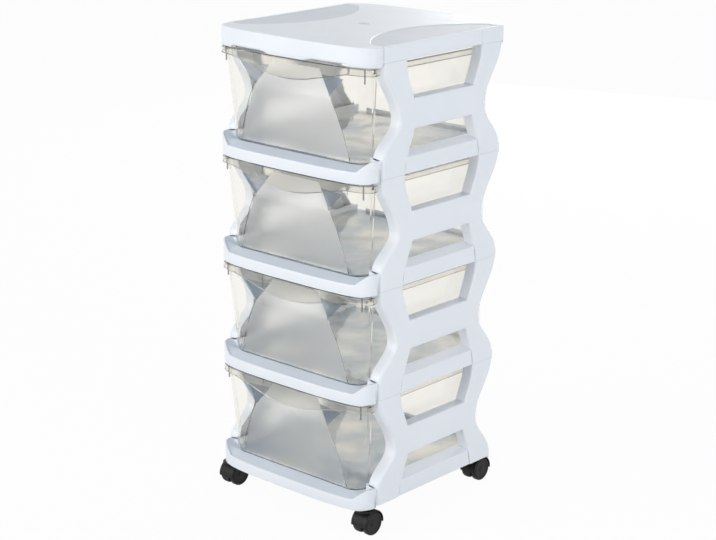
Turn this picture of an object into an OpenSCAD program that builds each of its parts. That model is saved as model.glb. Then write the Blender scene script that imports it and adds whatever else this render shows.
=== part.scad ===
// Plastic drawer tower: four translucent drawers in a stacked frame on four twin-wheel casters.
// Millimetres. +X is right, -Y is the front, +Z is up. The origin is on the floor under the centre.

/* [Tower] */
// Width over the side frames
tower_w = 338; // [280:1:410]
// Distance between the front and rear seams, where the bowed edges begin
frame_d = 294; // [250:1:360]
// Height of one tier, from seam to seam
tier_h = 180; // [150:1:220]
// How far the front and rear edges bow out beyond the seams
edge_bow = 38; // [28:1:46]
// Squareness of the front bow's corners, where 2 is an ellipse
bow_power = 3.3; // [2.4:0.1:5]
// Squareness of the rear bow's corners
rear_bow_power = 2; // [1.8:0.1:4]
// Wall of the frame mouldings
frame_wall = 2.5; // [2:0.1:3]
// Clearance between two frame mouldings that plug together
plug_gap = 0.3; // [0.2:0.05:0.5]

/* [Side frames] */
// Depth of a post, from the window side to its outer face
post_depth = 20; // [17:0.5:24]
// Half the window's width at a seam
window_half = 93; // [80:1:112]
// How far a post's window edge comes in at the waist
window_wave = 12.3; // [6:0.1:16]
// How far a post's outer edge comes in at the waist
outer_wave = 40; // [24:1:44]
// Height of the waist above the seam
waist_z = 85; // [76:1:96]
// Height up to which a front post's outer edge stays straight
front_hold = 32; // [20:1:40]
// Height up to which a rear post's outer edge stays straight
rear_hold = 12; // [4:1:30]
// Height of the mid rail's lower edge above the seam
rail_low = 69; // [62:1:80]
// Height of the mid rail
rail_h = 49; // [36:1:60]
// Rounding of the posts' outer face, taken as a step this deep
edge_step = 2; // [1:0.5:4]
// Height of the stub tenons on top of the posts
stub_h = 9; // [6:0.5:10]
// Length of a stub tenon along the post
stub_l = 24; // [16:1:28]
// Thickness of a stub tenon
stub_t = 9; // [6:0.5:10]

/* [Shelves] */
// Height of the deck that a drawer slides on
deck_h = 20; // [17:0.5:24]
// Height of the front lip's face above the seam
lip_h = 12.5; // [9:0.5:15]
// How far the front and rear edges hang below the seam
lip_drop = 6; // [4:0.5:7]
// Depth of the sloping ledge behind the front lip
ledge_d = 20; // [14:0.5:24]
// Height of the side skirts
skirt_h = 26.5; // [24:0.5:30]
// Height of the guide shoulders beside a drawer
guide_h = 32; // [29:0.5:36]
// How far the skirts stay behind the posts' outer face
skirt_inset = 2; // [1:0.5:4]
// Thickness of the ribs under a deck
rib_t = 2; // [1.5:0.1:3]

/* [Top panel] */
// Height of the top panel above the seam
lid_h = 25; // [20:0.5:32]
// Depth of the shallow fields in the top
field_depth = 1.2; // [0.6:0.1:1.6]
// Distance from the middle to where a shallow field begins
field_inner_x = 72; // [50:1:90]
// Radius of a shallow field's curved side
field_r = 186; // [160:1:220]
// Radius of the round mark in the middle of the top
mark_r = 8; // [4:0.5:12]
// Depth of the notches in the lower front and rear edges
notch_depth = 4; // [2:0.5:5]
// Distance from the middle to where a notch begins
notch_x = 52; // [40:1:60]
// Length of a notch
notch_w = 70; // [50:1:76]

/* [Drawers] */
// Clearance between a drawer and the frame, on each side and below
drawer_gap = 0.6; // [0.4:0.1:1.5]
// Wall of a drawer
drawer_wall = 2; // [1.6:0.1:2.6]
// Height of a drawer's rim
rim_h = 11.5; // [9:0.5:14]
// Gap between a drawer's rim and the edge hanging above it
rim_gap = 1.5; // [1:0.1:3]
// How much narrower a drawer is at the bottom, on each side
drawer_taper = 1.5; // [0:0.1:3]
// How far a drawer's front leans in from rim to bottom
front_lean = 19; // [12:0.5:24]
// Radius of a drawer's lower front corners
corner_r = 26; // [18:1:32]
// Depth of the grip apron below the seam, at the middle
grip_drop = 39.5; // [32:0.5:46]
// Half the width of the grip apron's arch
grip_half = 118; // [90:1:126]
// Depth of the finger scoop behind the apron's face
scoop_depth = 20; // [16:0.5:24]
// Half the width of the finger scoop's lower edge
scoop_low_half = 85; // [70:1:95]
// Half the width of the finger scoop at its back
scoop_back_half = 62; // [50:1:66]

/* [Casters] */
// Wheel diameter
wheel_d = 40; // [33:0.5:44]
// Width of one wheel
wheel_w = 10; // [8:0.5:12]
// Height of a caster, from the floor to the base
caster_h = 50; // [47:0.5:54]
// Thickness of the hood's middle web
web_t = 10; // [9:0.5:12]
// Shell of the hood over the wheels
hood_wall = 2; // [1.5:0.1:2.5]
// Distance from the swivel axis to the wheel axle
trail = 8; // [6:0.5:10]
// Stem diameter
stem_d = 7; // [6:0.1:7.5]
// Axle diameter
axle_d = 5; // [4:0.1:6]
// Radial clearance of the swivel and the wheels
run_gap = 0.05; // [0.03:0.01:0.1]
// Gap between a wheel and the web, and between the hood and the collar
side_gap = 0.5; // [0.3:0.1:0.8]
// Diameter of the hood's swivel cap
cap_d = 30; // [24:1:34]

/* [Hidden] */
eps = 0.01;
half_w = tower_w / 2;
seam_y = frame_d / 2;
base_z = caster_h;
tiers = 4;
lid_z = base_z + tiers * tier_h;

// Plan of the bowed edges
seam_inset = 4;
seam_x = half_w - seam_inset;
bow_steps = 32;
corner_steps = 8;

// Side frames and shelves
post_inner_x = half_w - post_depth;
core_gap = 0.2;
core_x = post_inner_x - core_gap;
guide_wall = 5.7;
guide_x = core_x - guide_wall;
wave_steps = 20;
stub_y = (seam_y + window_half) / 2;
lug_z0 = stub_h + 3;
lug_z1 = deck_h - 1;
stop_t = 3;
stop_h = 8;
stop_gap = 1;
stop_inset = 20;
riser_run = 24;
riser_flat = 3;
riser_top = guide_h - 2;
rib_low = 2;
field_rim = 4;

// Drawers
deck_gap = 0.3;
drawer_z0 = deck_h + deck_gap;
rim_top = tier_h - lip_drop - rim_gap;
drawer_bottom_half = guide_x - drawer_gap;
drawer_top_half = drawer_bottom_half + drawer_taper;
rim_half = post_inner_x - drawer_gap;
facade_y = seam_y + 1;
facade_inset = 7;
rim_inset = 1;
rim_overhang = 2;
drawer_back = seam_y + 2;
apron_t = 2;
apron_power = 1.4;
apron_steps = 12;
scoop_below = 20;
scoop_rise = 26;
scoop_mouth = 11;
scoop_side = 2;

// Casters
wheel_r = wheel_d / 2;
hood_r = wheel_r + 1 + hood_wall;
hood_half = web_t / 2 + side_gap + wheel_w;
hood_lap = 2;
web_reach = 10;
collar_r = 7.5;
stem_r = stem_d / 2;
axle_r = axle_d / 2;
cap_low = wheel_r + hood_r - hood_wall;
cap_top = caster_h - lip_drop - side_gap;
collar_low = caster_h - lip_drop;
boss_r = web_t / 2 - 0.2;
stem_low = wheel_r - 4;
stem_head_r = stem_r + 0.8;
stem_head_h = 1.5;
head_gap = 0.3;
socket_h = deck_h - frame_wall;
socket_bore = socket_h - 2;
stem_top = socket_bore - 0.5;
socket_r = stem_r + 3;
wheel_bore = wheel_w - 2;
axle_end = wheel_bore - 0.5;
dish_rim = 4;
dish_hub = 3;
dish_depth = 1;
front_caster = [half_w - 18, seam_y + 13];
rear_caster = [post_inner_x - 10, seam_y - 8];

frame_color = [0.91, 0.93, 0.97];
drawer_color = [0.82, 0.83, 0.82, 0.55];
caster_color = [0.13, 0.13, 0.14];
steel_color = [0.55, 0.56, 0.58];

// ---------- outlines ----------

// One quarter-step point of the bowed edge, a rounded-square curve from seam to seam
function bow_point(a, half, start, bow, power) = [
    half * sign(sin(a)) * pow(abs(sin(a)), 2 / power),
    -start - bow * pow(abs(cos(a)), 2 / power)
];

// A bowed edge from the left seam to the right seam, at the front
function bow_edge(half, start, bow, power = bow_power) =
    [for (i = [0 : bow_steps]) bow_point(-90 + 180 * i / bow_steps, half, start, bow, power)];

// Smooth step from 0 to 1, held at both ends
function smooth(s) = (1 - cos(180 * min(1, max(0, s)))) / 2;

// A post's window edge: its distance from the tower's middle at a height above the seam
function window_edge(z) = window_half - window_wave * (1 - cos(360 * z / tier_h));

// A post's outer edge, drawn in smoothly to the waist from the hold below and from the seam above
function outer_edge(z, hold) = seam_y - outer_wave
    * (z < waist_z ? smooth((z - hold) / (waist_z - hold)) : smooth((tier_h - z) / (tier_h - waist_z)));

// The whole plan between the front and rear bows
module tower_plan(inset = 0) {
    half = seam_x - inset;
    bow = edge_bow - inset;
    front = bow_edge(half, seam_y, bow);
    rear = bow_edge(half, seam_y, bow, rear_bow_power);
    polygon(concat(front, [for (p = rear) -p]));
}

// Front and rear bows only, outside the seams
module bow_plan(inset = 0) {
    difference() {
        tower_plan(inset);
        square([tower_w, frame_d], center = true);
    }
}

// Draws a (Y, Z) outline and extrudes it along X, from x0 to x1
module along_x(x0, x1) {
    translate([x0, 0, 0]) rotate([90, 0, 90]) linear_extrude(x1 - x0) children();
}

// Draws an (X, Z) outline and extrudes it along Y, from y0 to y1
module along_y(y0, y1) {
    translate([0, y1, 0]) rotate([90, 0, 0]) linear_extrude(y1 - y0) children();
}

// ---------- side frames ----------

// One waisted post seen from the side, front (-1) or rear (1), trimmed by inset on its outer edge
module post_profile(side, inset = 0) {
    hold = side < 0 ? front_hold : rear_hold;
    zs = [for (i = [0 : wave_steps]) tier_h * i / wave_steps];
    outer = [for (z = zs) [side * (outer_edge(z, hold) - inset), z]];
    window = [for (i = [wave_steps : -1 : 0]) [side * window_edge(zs[i]), zs[i]]];
    polygon(concat(outer, window));
}

// Two posts and the rail between them
module frame_profile(inset = 0) {
    post_profile(-1, inset);
    post_profile(1, inset);
    rail_half = window_half - window_wave;
    translate([-rail_half, rail_low]) square([2 * rail_half, rail_h]);
}

// Stub tenons that plug into the frame or lid above
module stubs(grow = 0) {
    stub_x = half_w - post_depth / 2;
    for (side = [-1, 1])
        translate([stub_x - stub_t / 2 - grow, side * stub_y - stub_l / 2 - grow, -eps])
            cube([stub_t + 2 * grow, stub_l + 2 * grow, stub_h + eps + grow]);
}

// A right-hand side frame standing on the seam, open towards the drawer
module side_frame() {
    shell_x = half_w - frame_wall;
    difference() {
        union() {
            along_x(post_inner_x, half_w - edge_step) frame_profile();
            along_x(half_w - edge_step - eps, half_w) frame_profile(edge_step);
            translate([0, 0, tier_h]) stubs();
        }
        along_x(post_inner_x - eps, shell_x) offset(delta = -frame_wall) frame_profile();
        translate([0, 0, -frame_wall]) stubs(plug_gap);
    }
}

module side_frame_at(side, tier) {
    color(frame_color)
        translate([0, 0, base_z + (tier - 1) * tier_h])
            mirror([side < 0 ? 1 : 0, 0, 0]) side_frame();
}

// ---------- shelves ----------

// Height profile of the front half of a shelf, seen from the side: lip, ledge and deck
module ledge_profile() {
    front = seam_y + edge_bow;
    polygon([
        [-front, -lip_drop], [-front, lip_h], [-front + ledge_d, deck_h],
        [front - ledge_d, deck_h], [front, lip_h], [front, -lip_drop],
        [seam_y, -lip_drop], [seam_y, 0], [-seam_y, 0], [-seam_y, -lip_drop]
    ]);
}

// Right-hand guide shoulder seen from the front, from the guide face out to the skirt
module shoulder_profile() {
    skirt_x = half_w - skirt_inset;
    polygon([[guide_x, 0], [guide_x, guide_h], [core_x, guide_h], [skirt_x, skirt_h], [skirt_x, 0]]);
}

// Right-hand riser at a front corner, seen from the front
module riser_profile() {
    riser_x = seam_x - riser_run;
    polygon([
        [riser_x, 0], [riser_x, lip_h], [seam_x - riser_flat, riser_top],
        [half_w, riser_top], [half_w, 0]
    ]);
}

// Outside of the deck and the bowed lips
module deck_block() {
    intersection() {
        along_x(-core_x, core_x) ledge_profile();
        translate([0, 0, -lip_drop]) linear_extrude(deck_h + lip_drop) tower_plan();
    }
    intersection() {
        along_x(-half_w, half_w) ledge_profile();
        translate([0, 0, -lip_drop]) linear_extrude(deck_h + lip_drop) bow_plan();
    }
}

// Guide shoulders and side skirts of both sides
module shoulders() {
    for (side = [0, 1]) mirror([side, 0, 0]) {
        intersection() {
            along_y(-seam_y, seam_y) shoulder_profile();
            translate([0, -seam_y, 0]) cube([core_x, frame_d, guide_h]);
        }
        intersection() {
            along_y(-seam_y, seam_y) shoulder_profile();
            along_x(core_x - eps, half_w) skirt_side_profile();
        }
    }
}

// A skirt seen from the side, ending a plug gap short of the waisted posts
module skirt_side_profile() {
    zs = [for (i = [0 : 4]) guide_h * i / 4];
    right = [for (z = zs) [window_edge(z) - plug_gap, z]];
    left = [for (i = [4 : -1 : 0]) [-window_edge(zs[i]) + plug_gap, zs[i]]];
    polygon(concat(right, left));
}

// Raised corners outside the front seam
module risers() {
    for (side = [0, 1]) mirror([side, 0, 0])
        intersection() {
            along_y(-seam_y - edge_bow, 0) riser_profile();
            linear_extrude(guide_h) bow_plan();
        }
}

// Hollow under the deck, open below
module deck_hollow() {
    roof = deck_h - frame_wall;
    translate([0, 0, -lip_drop - eps])
        linear_extrude(lip_h - frame_wall + lip_drop) difference() {
            tower_plan(frame_wall);
            for (side = [-1, 1])
                translate([side * (core_x - frame_wall + half_w / 2), 0])
                    square([half_w, frame_d + 2 * frame_wall], center = true);
        }
    inner_x = guide_x - frame_wall;
    inner_y = seam_y + edge_bow - ledge_d - frame_wall;
    translate([-inner_x, -inner_y, 0]) cube([2 * inner_x, 2 * inner_y, roof]);
}

// Ribs that stiffen the deck from below
module deck_ribs() {
    rib_h = deck_h - frame_wall / 2;
    reach = seam_y + edge_bow - ledge_d;
    for (x = [-core_x / 2, 0, core_x / 2])
        translate([x - rib_t / 2, -reach, rib_low]) cube([rib_t, 2 * reach, rib_h - rib_low]);
    for (y = [-seam_y / 2, seam_y / 2])
        translate([-guide_x, y - rib_t / 2, rib_low]) cube([2 * guide_x, rib_t, rib_h - rib_low]);
}

// Lugs that reach into the hollow posts
module post_lugs() {
    for (sx = [-1, 1], sy = [-1, 1])
        translate([sx > 0 ? core_x - eps : -core_x - stub_t, sy * stub_y - stub_l / 2, lug_z0])
            cube([stub_t + eps, stub_l, lug_z1 - lug_z0]);
}

// Low stop behind the drawer
module rear_stop() {
    stop_x = guide_x - stop_inset;
    translate([-stop_x, drawer_back + stop_gap, deck_h - eps]) cube([2 * stop_x, stop_t, stop_h]);
}

// A shelf standing on the seam
module shelf() {
    difference() {
        union() {
            deck_block();
            shoulders();
            risers();
            rear_stop();
        }
        deck_hollow();
        // hollow under the skirts
        for (side = [0, 1]) mirror([side, 0, 0])
            translate([core_x, -window_edge(skirt_h) + frame_wall, -eps])
                cube([half_w - skirt_inset - frame_wall - core_x,
                      2 * (window_edge(skirt_h) - frame_wall), skirt_h - frame_wall]);
        // drawer path between the guides
        translate([-guide_x, -seam_y - edge_bow, deck_h])
            cube([2 * guide_x, frame_d + edge_bow, guide_h]);
    }
    deck_ribs();
    post_lugs();
}

module shelf_at(level) {
    color(frame_color) translate([0, 0, base_z + level * tier_h]) shelf();
}

// ---------- base ----------

function caster_xy(side, row) = row < 0
    ? [side * front_caster[0], -front_caster[1]]
    : [side * rear_caster[0], rear_caster[1]];

// The lowest shelf, with a socket for each caster
module base_shelf() {
    color(frame_color) translate([0, 0, base_z]) difference() {
        union() {
            shelf();
            for (side = [-1, 1], row = [-1, 1])
                translate(caster_xy(side, row)) cylinder(h = socket_h, r = socket_r, $fn = 48);
        }
        for (side = [-1, 1], row = [-1, 1]) {
            translate([each caster_xy(side, row), -eps])
                cylinder(h = socket_bore, r = stem_r + run_gap, $fn = 48);
            // room for the stem's collar beside the hanging lip
            translate([each caster_xy(side, row), -lip_drop - eps])
                cylinder(h = lip_drop + eps, r = collar_r + plug_gap, $fn = 48);
        }
    }
}

// ---------- top panel ----------

// Corner pilasters that carry on the posts' lines
module pilasters() {
    for (sx = [-1, 1], sy = [-1, 1])
        translate([sx > 0 ? post_inner_x : -half_w, sy > 0 ? window_half : -seam_y, 0])
            cube([post_depth, seam_y - window_half, lid_h]);
}

// One shallow crescent field, in the half where x is positive
module crescent_plan() {
    reach = half_w - skirt_inset - field_rim;
    intersection() {
        translate([field_inner_x + field_r, 0]) circle(r = field_r, $fn = 160);
        square([2 * reach, 2 * (seam_y - field_rim)], center = true);
    }
}

module top_panel() {
    skirt_x = half_w - skirt_inset;
    color(frame_color) translate([0, 0, lid_z]) difference() {
        union() {
            linear_extrude(lid_h) intersection() {
                tower_plan();
                square([2 * seam_x, 4 * seam_y], center = true);
            }
            translate([-skirt_x, -seam_y, 0]) cube([2 * skirt_x, frame_d, lid_h]);
            pilasters();
            translate([0, 0, -lip_drop]) linear_extrude(lip_drop + eps) bow_plan();
        }
        // hollow underneath
        translate([0, 0, -lip_drop - eps])
            linear_extrude(lid_h + lip_drop - frame_wall) {
                tower_plan(frame_wall);
                square([2 * (skirt_x - frame_wall), frame_d - 2 * frame_wall], center = true);
            }
        // notches in the hanging front and rear edges
        for (side = [-1, 1])
            translate([side > 0 ? notch_x : -notch_x - notch_w, -frame_d, -lip_drop - eps])
                cube([notch_w, 2 * frame_d, notch_depth]);
        // shallow fields and the round mark
        for (side = [0, 1]) mirror([side, 0, 0])
            translate([0, 0, lid_h - field_depth]) linear_extrude(field_depth + eps) crescent_plan();
        translate([0, 0, lid_h - field_depth]) cylinder(h = field_depth + eps, r = mark_r, $fn = 64);
    }
}

// ---------- drawers ----------

// Plan of a drawer's front at the rim, a little inside the shelf's bow
module facade_plan(inset) {
    polygon(bow_edge(seam_x - facade_inset - inset, seam_y, edge_bow - facade_inset - inset));
}

// Lower plan of a drawer, a rectangle with round front corners
module lower_plan(inset) {
    half = drawer_bottom_half - inset;
    front = seam_y + edge_bow - front_lean - inset;
    r = corner_r - inset;
    back = drawer_back - inset;
    turn = [for (i = [0 : corner_steps]) 90 * i / corner_steps];
    polygon(concat(
        [for (a = turn) [-half + r - r * cos(a), -front + r - r * sin(a)]],
        [for (a = turn) [half - r + r * sin(a), -front + r - r * cos(a)]],
        [[half, back], [-half, back]]
    ));
}

// Body of a drawer, drawn in by inset, from its floor up to the rim's top
module drawer_body(inset, floor_z, top_z) {
    slice = 0.1;
    shoulder_y = facade_y + inset;
    // tub between the guides
    hull() {
        translate([0, 0, floor_z]) linear_extrude(slice) lower_plan(inset);
        translate([-drawer_top_half + inset, -shoulder_y - 1, top_z - slice])
            cube([2 * (drawer_top_half - inset), shoulder_y + 1 + drawer_back - inset, slice]);
    }
    // facade in front of the posts
    intersection() {
        hull() {
            translate([0, 0, floor_z]) linear_extrude(slice) lower_plan(inset);
            translate([0, 0, top_z - slice]) linear_extrude(slice) facade_plan(inset);
        }
        translate([-half_w, -seam_y - edge_bow, 0])
            cube([tower_w, seam_y + edge_bow - shoulder_y, tier_h]);
    }
}

// Plan of the rim, trimmed by inset: bowed in front, narrower between the side frames
module rim_plan(inset) {
    start = facade_y + inset;
    front = seam_y + edge_bow - rim_inset - inset;
    half = rim_half - inset;
    back = drawer_back + rim_overhang - inset;
    polygon(concat(
        bow_edge(seam_x - rim_inset - inset, start, front - start),
        [[half, -start], [half, back], [-half, back], [-half, -start]]
    ));
}

// Lower edge of the grip apron, as a height above the seam below
function apron_z(x) = rim_top - rim_h
    - (rim_top - rim_h - tier_h + grip_drop) * pow(max(0, 1 - pow(x / grip_half, 2)), apron_power);

module apron_outline() {
    xs = [for (i = [-apron_steps : apron_steps]) grip_half * i / apron_steps];
    polygon(concat([for (x = xs) [x, apron_z(x)]], [[grip_half, rim_top], [-grip_half, rim_top]]));
}

// Space that the finger scoop takes out of the front: as wide as the apron's arch at its mouth,
// narrower and higher at its back
module finger_scoop(grow = 0) {
    low = tier_h - grip_drop - scoop_below;
    high = rim_top - drawer_wall;
    mouth_half = grip_half - scoop_side + grow;
    mouth_y = seam_y + edge_bow - scoop_mouth - grow;
    back_y = seam_y + edge_bow - scoop_depth - grow;
    hull() {
        along_y(-frame_d, -mouth_y) polygon([
            [-scoop_low_half - grow, low - grow], [scoop_low_half + grow, low - grow],
            [mouth_half, rim_top - rim_h], [mouth_half, high],
            [-mouth_half, high], [-mouth_half, rim_top - rim_h]
        ]);
        along_y(-mouth_y, -back_y)
            translate([-scoop_back_half - grow, low + scoop_rise - grow])
                square([2 * (scoop_back_half + grow), high - low - scoop_rise + grow]);
    }
}

module drawer() {
    floor_z = drawer_z0 + drawer_wall;
    difference() {
        union() {
            drawer_body(0, drawer_z0, rim_top);
            translate([0, 0, rim_top - drawer_wall]) linear_extrude(drawer_wall) rim_plan(0);
            translate([0, 0, rim_top - rim_h]) linear_extrude(rim_h) difference() {
                rim_plan(0);
                rim_plan(apron_t);
            }
        }
        // inside, with the scoop's walls left standing
        difference() {
            drawer_body(drawer_wall, floor_z, rim_top + eps);
            finger_scoop(drawer_wall);
        }
        finger_scoop();
    }
    // grip apron
    intersection() {
        translate([0, 0, tier_h - grip_drop - 1])
            linear_extrude(grip_drop) difference() {
                rim_plan(0);
                rim_plan(apron_t);
            }
        along_y(-frame_d, -facade_y) apron_outline();
    }
}

module drawer_at(tier) {
    color(drawer_color) translate([0, 0, base_z + (tier - 1) * tier_h]) drawer();
}

// ---------- casters ----------

// Everything of a caster is drawn with its swivel axis at x = y = 0 and the wheels behind it

// A cylinder along X, centred at a height, behind the swivel axis
module axle_cylinder(r, x0, x1) {
    translate([x0, trail, wheel_r]) rotate([0, 90, 0]) cylinder(h = x1 - x0, r = r, $fn = 64);
}

module caster_stem() {
    color(steel_color) {
        translate([0, 0, collar_low]) cylinder(h = caster_h - collar_low, r = collar_r, $fn = 48);
        translate([0, 0, stem_low]) cylinder(h = caster_h + stem_top - stem_low, r = stem_r, $fn = 48);
        translate([0, 0, stem_low - stem_head_h]) cylinder(h = stem_head_h, r = stem_head_r, $fn = 48);
    }
}

// A block below the axle that trims the hood, leaving it reach below the axle's centre
module below_axle(reach) {
    translate([-hood_half - 1, trail - hood_r - 1, wheel_r - hood_r - 1])
        cube([2 * hood_half + 2, 2 * hood_r + 2, hood_r + 1 - reach]);
}

// Black hood: a web between the wheels, the stem's boss, a half-round shell and the swivel cap
module caster_hood() {
    color(caster_color) difference() {
        union() {
            difference() {
                axle_cylinder(hood_r, -hood_half, hood_half);
                axle_cylinder(hood_r - hood_wall, -hood_half - 1, hood_half + 1);
                below_axle(hood_lap);
            }
            difference() {
                axle_cylinder(hood_r, -web_t / 2, web_t / 2);
                below_axle(web_reach);
            }
            translate([0, 0, wheel_r]) cylinder(h = cap_top - wheel_r, r = boss_r, $fn = 48);
            translate([0, 0, cap_low]) cylinder(h = cap_top - cap_low, d = cap_d, $fn = 64);
        }
        cylinder(h = caster_h, r = stem_r + run_gap, $fn = 48);
        cylinder(h = stem_low + head_gap, r = stem_head_r + head_gap, $fn = 48);
        axle_cylinder(axle_r, -web_t, web_t);
    }
}

// Steel axle, pressed into the web
module caster_axle() {
    reach = web_t / 2 + side_gap + axle_end;
    color(steel_color) axle_cylinder(axle_r, -reach, reach);
}

// One wheel, with a blind bore and a dished outer face; side is 1 for +X and -1 for -X
module caster_wheel(side) {
    inner_x = web_t / 2 + side_gap;
    outer_x = inner_x + wheel_w;
    color(caster_color) mirror([side < 0 ? 1 : 0, 0, 0]) difference() {
        axle_cylinder(wheel_r, inner_x, outer_x);
        axle_cylinder(axle_r + run_gap, inner_x - 1, inner_x + wheel_bore);
        difference() {
            axle_cylinder(wheel_r - dish_rim, outer_x - dish_depth, outer_x + 1);
            axle_cylinder(axle_r + dish_hub, inner_x, outer_x + 2);
        }
    }
}

module at_caster(side, row) {
    translate(caster_xy(side, row)) children();
}

// ---------- nodes ----------

top_panel();
shelf_at(3);  // shelf_3
shelf_at(2);  // shelf_2
shelf_at(1);  // shelf_1
base_shelf();
side_frame_at(-1, 4);  // side_frame_left_4
side_frame_at(-1, 3);  // side_frame_left_3
side_frame_at(-1, 2);  // side_frame_left_2
side_frame_at(-1, 1);  // side_frame_left_1
side_frame_at(1, 4);  // side_frame_right_4
side_frame_at(1, 3);  // side_frame_right_3
side_frame_at(1, 2);  // side_frame_right_2
side_frame_at(1, 1);  // side_frame_right_1
drawer_at(4);  // drawer_4
drawer_at(3);  // drawer_3
drawer_at(2);  // drawer_2
drawer_at(1);  // drawer_1
at_caster(-1, -1) caster_stem();  // front_left_stem
at_caster(-1, -1) caster_hood();  // front_left_hood
at_caster(-1, -1) caster_axle();  // front_left_axle
at_caster(-1, -1) caster_wheel(1);  // front_left_inner_wheel
at_caster(-1, -1) caster_wheel(-1);  // front_left_outer_wheel
at_caster(1, -1) caster_stem();  // front_right_stem
at_caster(1, -1) caster_hood();  // front_right_hood
at_caster(1, -1) caster_axle();  // front_right_axle
at_caster(1, -1) caster_wheel(-1);  // front_right_inner_wheel
at_caster(1, -1) caster_wheel(1);  // front_right_outer_wheel
at_caster(-1, 1) caster_stem();  // rear_left_stem
at_caster(-1, 1) caster_hood();  // rear_left_hood
at_caster(-1, 1) caster_axle();  // rear_left_axle
at_caster(-1, 1) caster_wheel(1);  // rear_left_inner_wheel
at_caster(-1, 1) caster_wheel(-1);  // rear_left_outer_wheel
at_caster(1, 1) caster_stem();  // rear_right_stem
at_caster(1, 1) caster_hood();  // rear_right_hood
at_caster(1, 1) caster_axle();  // rear_right_axle
at_caster(1, 1) caster_wheel(-1);  // rear_right_inner_wheel
at_caster(1, 1) caster_wheel(1);  // rear_right_outer_wheel
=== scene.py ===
"""Plastic drawer tower: four translucent drawers in a stacked frame on four twin-wheel casters."""
import logging
import math
from collections.abc import Callable, Sequence
from dataclasses import dataclass
from enum import Enum, IntEnum

import bmesh
import bpy
from mathutils import Matrix, Vector


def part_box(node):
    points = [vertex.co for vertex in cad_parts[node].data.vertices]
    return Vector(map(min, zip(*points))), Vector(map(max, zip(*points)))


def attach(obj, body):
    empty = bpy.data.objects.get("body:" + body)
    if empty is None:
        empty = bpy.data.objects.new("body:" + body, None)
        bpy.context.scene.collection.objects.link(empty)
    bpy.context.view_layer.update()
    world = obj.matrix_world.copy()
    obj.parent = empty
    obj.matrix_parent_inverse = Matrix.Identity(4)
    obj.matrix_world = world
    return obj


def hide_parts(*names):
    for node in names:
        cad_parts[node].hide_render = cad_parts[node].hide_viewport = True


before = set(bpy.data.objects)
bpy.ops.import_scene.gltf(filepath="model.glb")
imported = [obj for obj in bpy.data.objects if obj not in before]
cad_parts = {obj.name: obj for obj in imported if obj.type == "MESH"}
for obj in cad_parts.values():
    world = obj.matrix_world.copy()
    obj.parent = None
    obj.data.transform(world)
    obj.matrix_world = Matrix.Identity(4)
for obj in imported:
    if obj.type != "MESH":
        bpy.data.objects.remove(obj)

log = logging.getLogger("tower")
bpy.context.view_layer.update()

TINY = 1e-6  # a distance in metres that counts as none
POLE_R = 1e-5  # the radius of a profile's place on its axis
UP = Vector((0, 0, 1))
ACROSS = Vector((1, 0, 0))

Ring = list[bmesh.types.BMVert]


# ---------- shared sizes ----------


@dataclass(frozen=True)
class Layout:
    """The tower's shared sizes in metres. Heights in a tier are measured from the seam below it."""

    half_w: float
    seam_y: float
    bow: float
    base_z: float
    tier_h: float
    tiers: int = 4
    seam_inset: float = 0.004
    bow_power: float = 3.3
    rear_bow_power: float = 2.0
    post_depth: float = 0.020
    window_half: float = 0.093
    window_wave: float = 0.0123
    outer_wave: float = 0.040
    waist_z: float = 0.085
    front_hold: float = 0.032
    rear_hold: float = 0.012
    lip_drop: float = 0.006
    deck_h: float = 0.020

    @classmethod
    def from_frame(cls) -> "Layout":
        """Reads the overall sizes from the CAD nodes' boxes.

        Returns:
            The layout that every piece is built from.
        """
        low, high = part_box("side_frame_right_1")
        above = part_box("side_frame_right_2")[0]
        shelf_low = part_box("shelf_1")[0]
        return cls(half_w=high.x, seam_y=high.y, bow=-shelf_low.y - high.y, base_z=low.z,
                   tier_h=above.z - low.z)

    @property
    def lid_z(self) -> float:
        """Height of the seam under the top panel."""
        return self.base_z + self.tiers * self.tier_h

    @property
    def seam_x(self) -> float:
        """Half the width at the seams, where the bowed edges begin."""
        return self.half_w - self.seam_inset

    @property
    def post_x(self) -> float:
        """Where a post's inner face lies."""
        return self.half_w - self.post_depth

    @property
    def foot_y(self) -> float:
        """Distance of the middle of a post's foot from the tower's middle, front to rear."""
        return (self.seam_y + self.window_half) / 2

    def seam_z(self, tier: int) -> float:
        """Height of the seam under a tier, where tier 1 is the lowest."""
        return self.base_z + (tier - 1) * self.tier_h

    def bow_y(self, share: float, depth: float, rear: bool = False) -> float:
        """How far a bowed edge reaches beyond its seam, at a share of its half width."""
        power = self.rear_bow_power if rear else self.bow_power
        return depth * max(0.0, 1 - min(1.0, abs(share)) ** power) ** (1 / power)

    def edge_pair(self, share: float, inset: float, front_z: float,
                  rear_z: float) -> tuple[Vector, Vector]:
        """A place on the bowed front edge and its twin on the rear edge.

        Args:
            share: Place across, as a share of half the width.
            inset: How far both lie inside the edge.
            front_z: Height of the place in front.
            rear_z: Height of its twin.

        Returns:
            Both places.
        """
        x, depth = share * (self.seam_x - inset), self.bow - inset
        return (Vector((x, -self.seam_y - self.bow_y(share, depth), front_z)),
                Vector((x, self.seam_y + self.bow_y(share, depth, rear=True), rear_z)))

    def window_edge(self, z: float) -> float:
        """A post's window edge, as a distance from the tower's middle."""
        return self.window_half - self.window_wave * (1 - math.cos(math.tau * z / self.tier_h))

    def outer_edge(self, z: float, hold: float) -> float:
        """A post's outer edge, as a distance from the tower's middle.

        Args:
            z: Height above the seam.
            hold: Height up to which the edge stays straight.

        Returns:
            The distance, drawn in smoothly to the waist.
        """
        if z < self.waist_z:
            share = smooth_step((z - hold) / (self.waist_z - hold))
        else:
            share = smooth_step((self.tier_h - z) / (self.tier_h - self.waist_z))
        return self.seam_y - self.outer_wave * share


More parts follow.
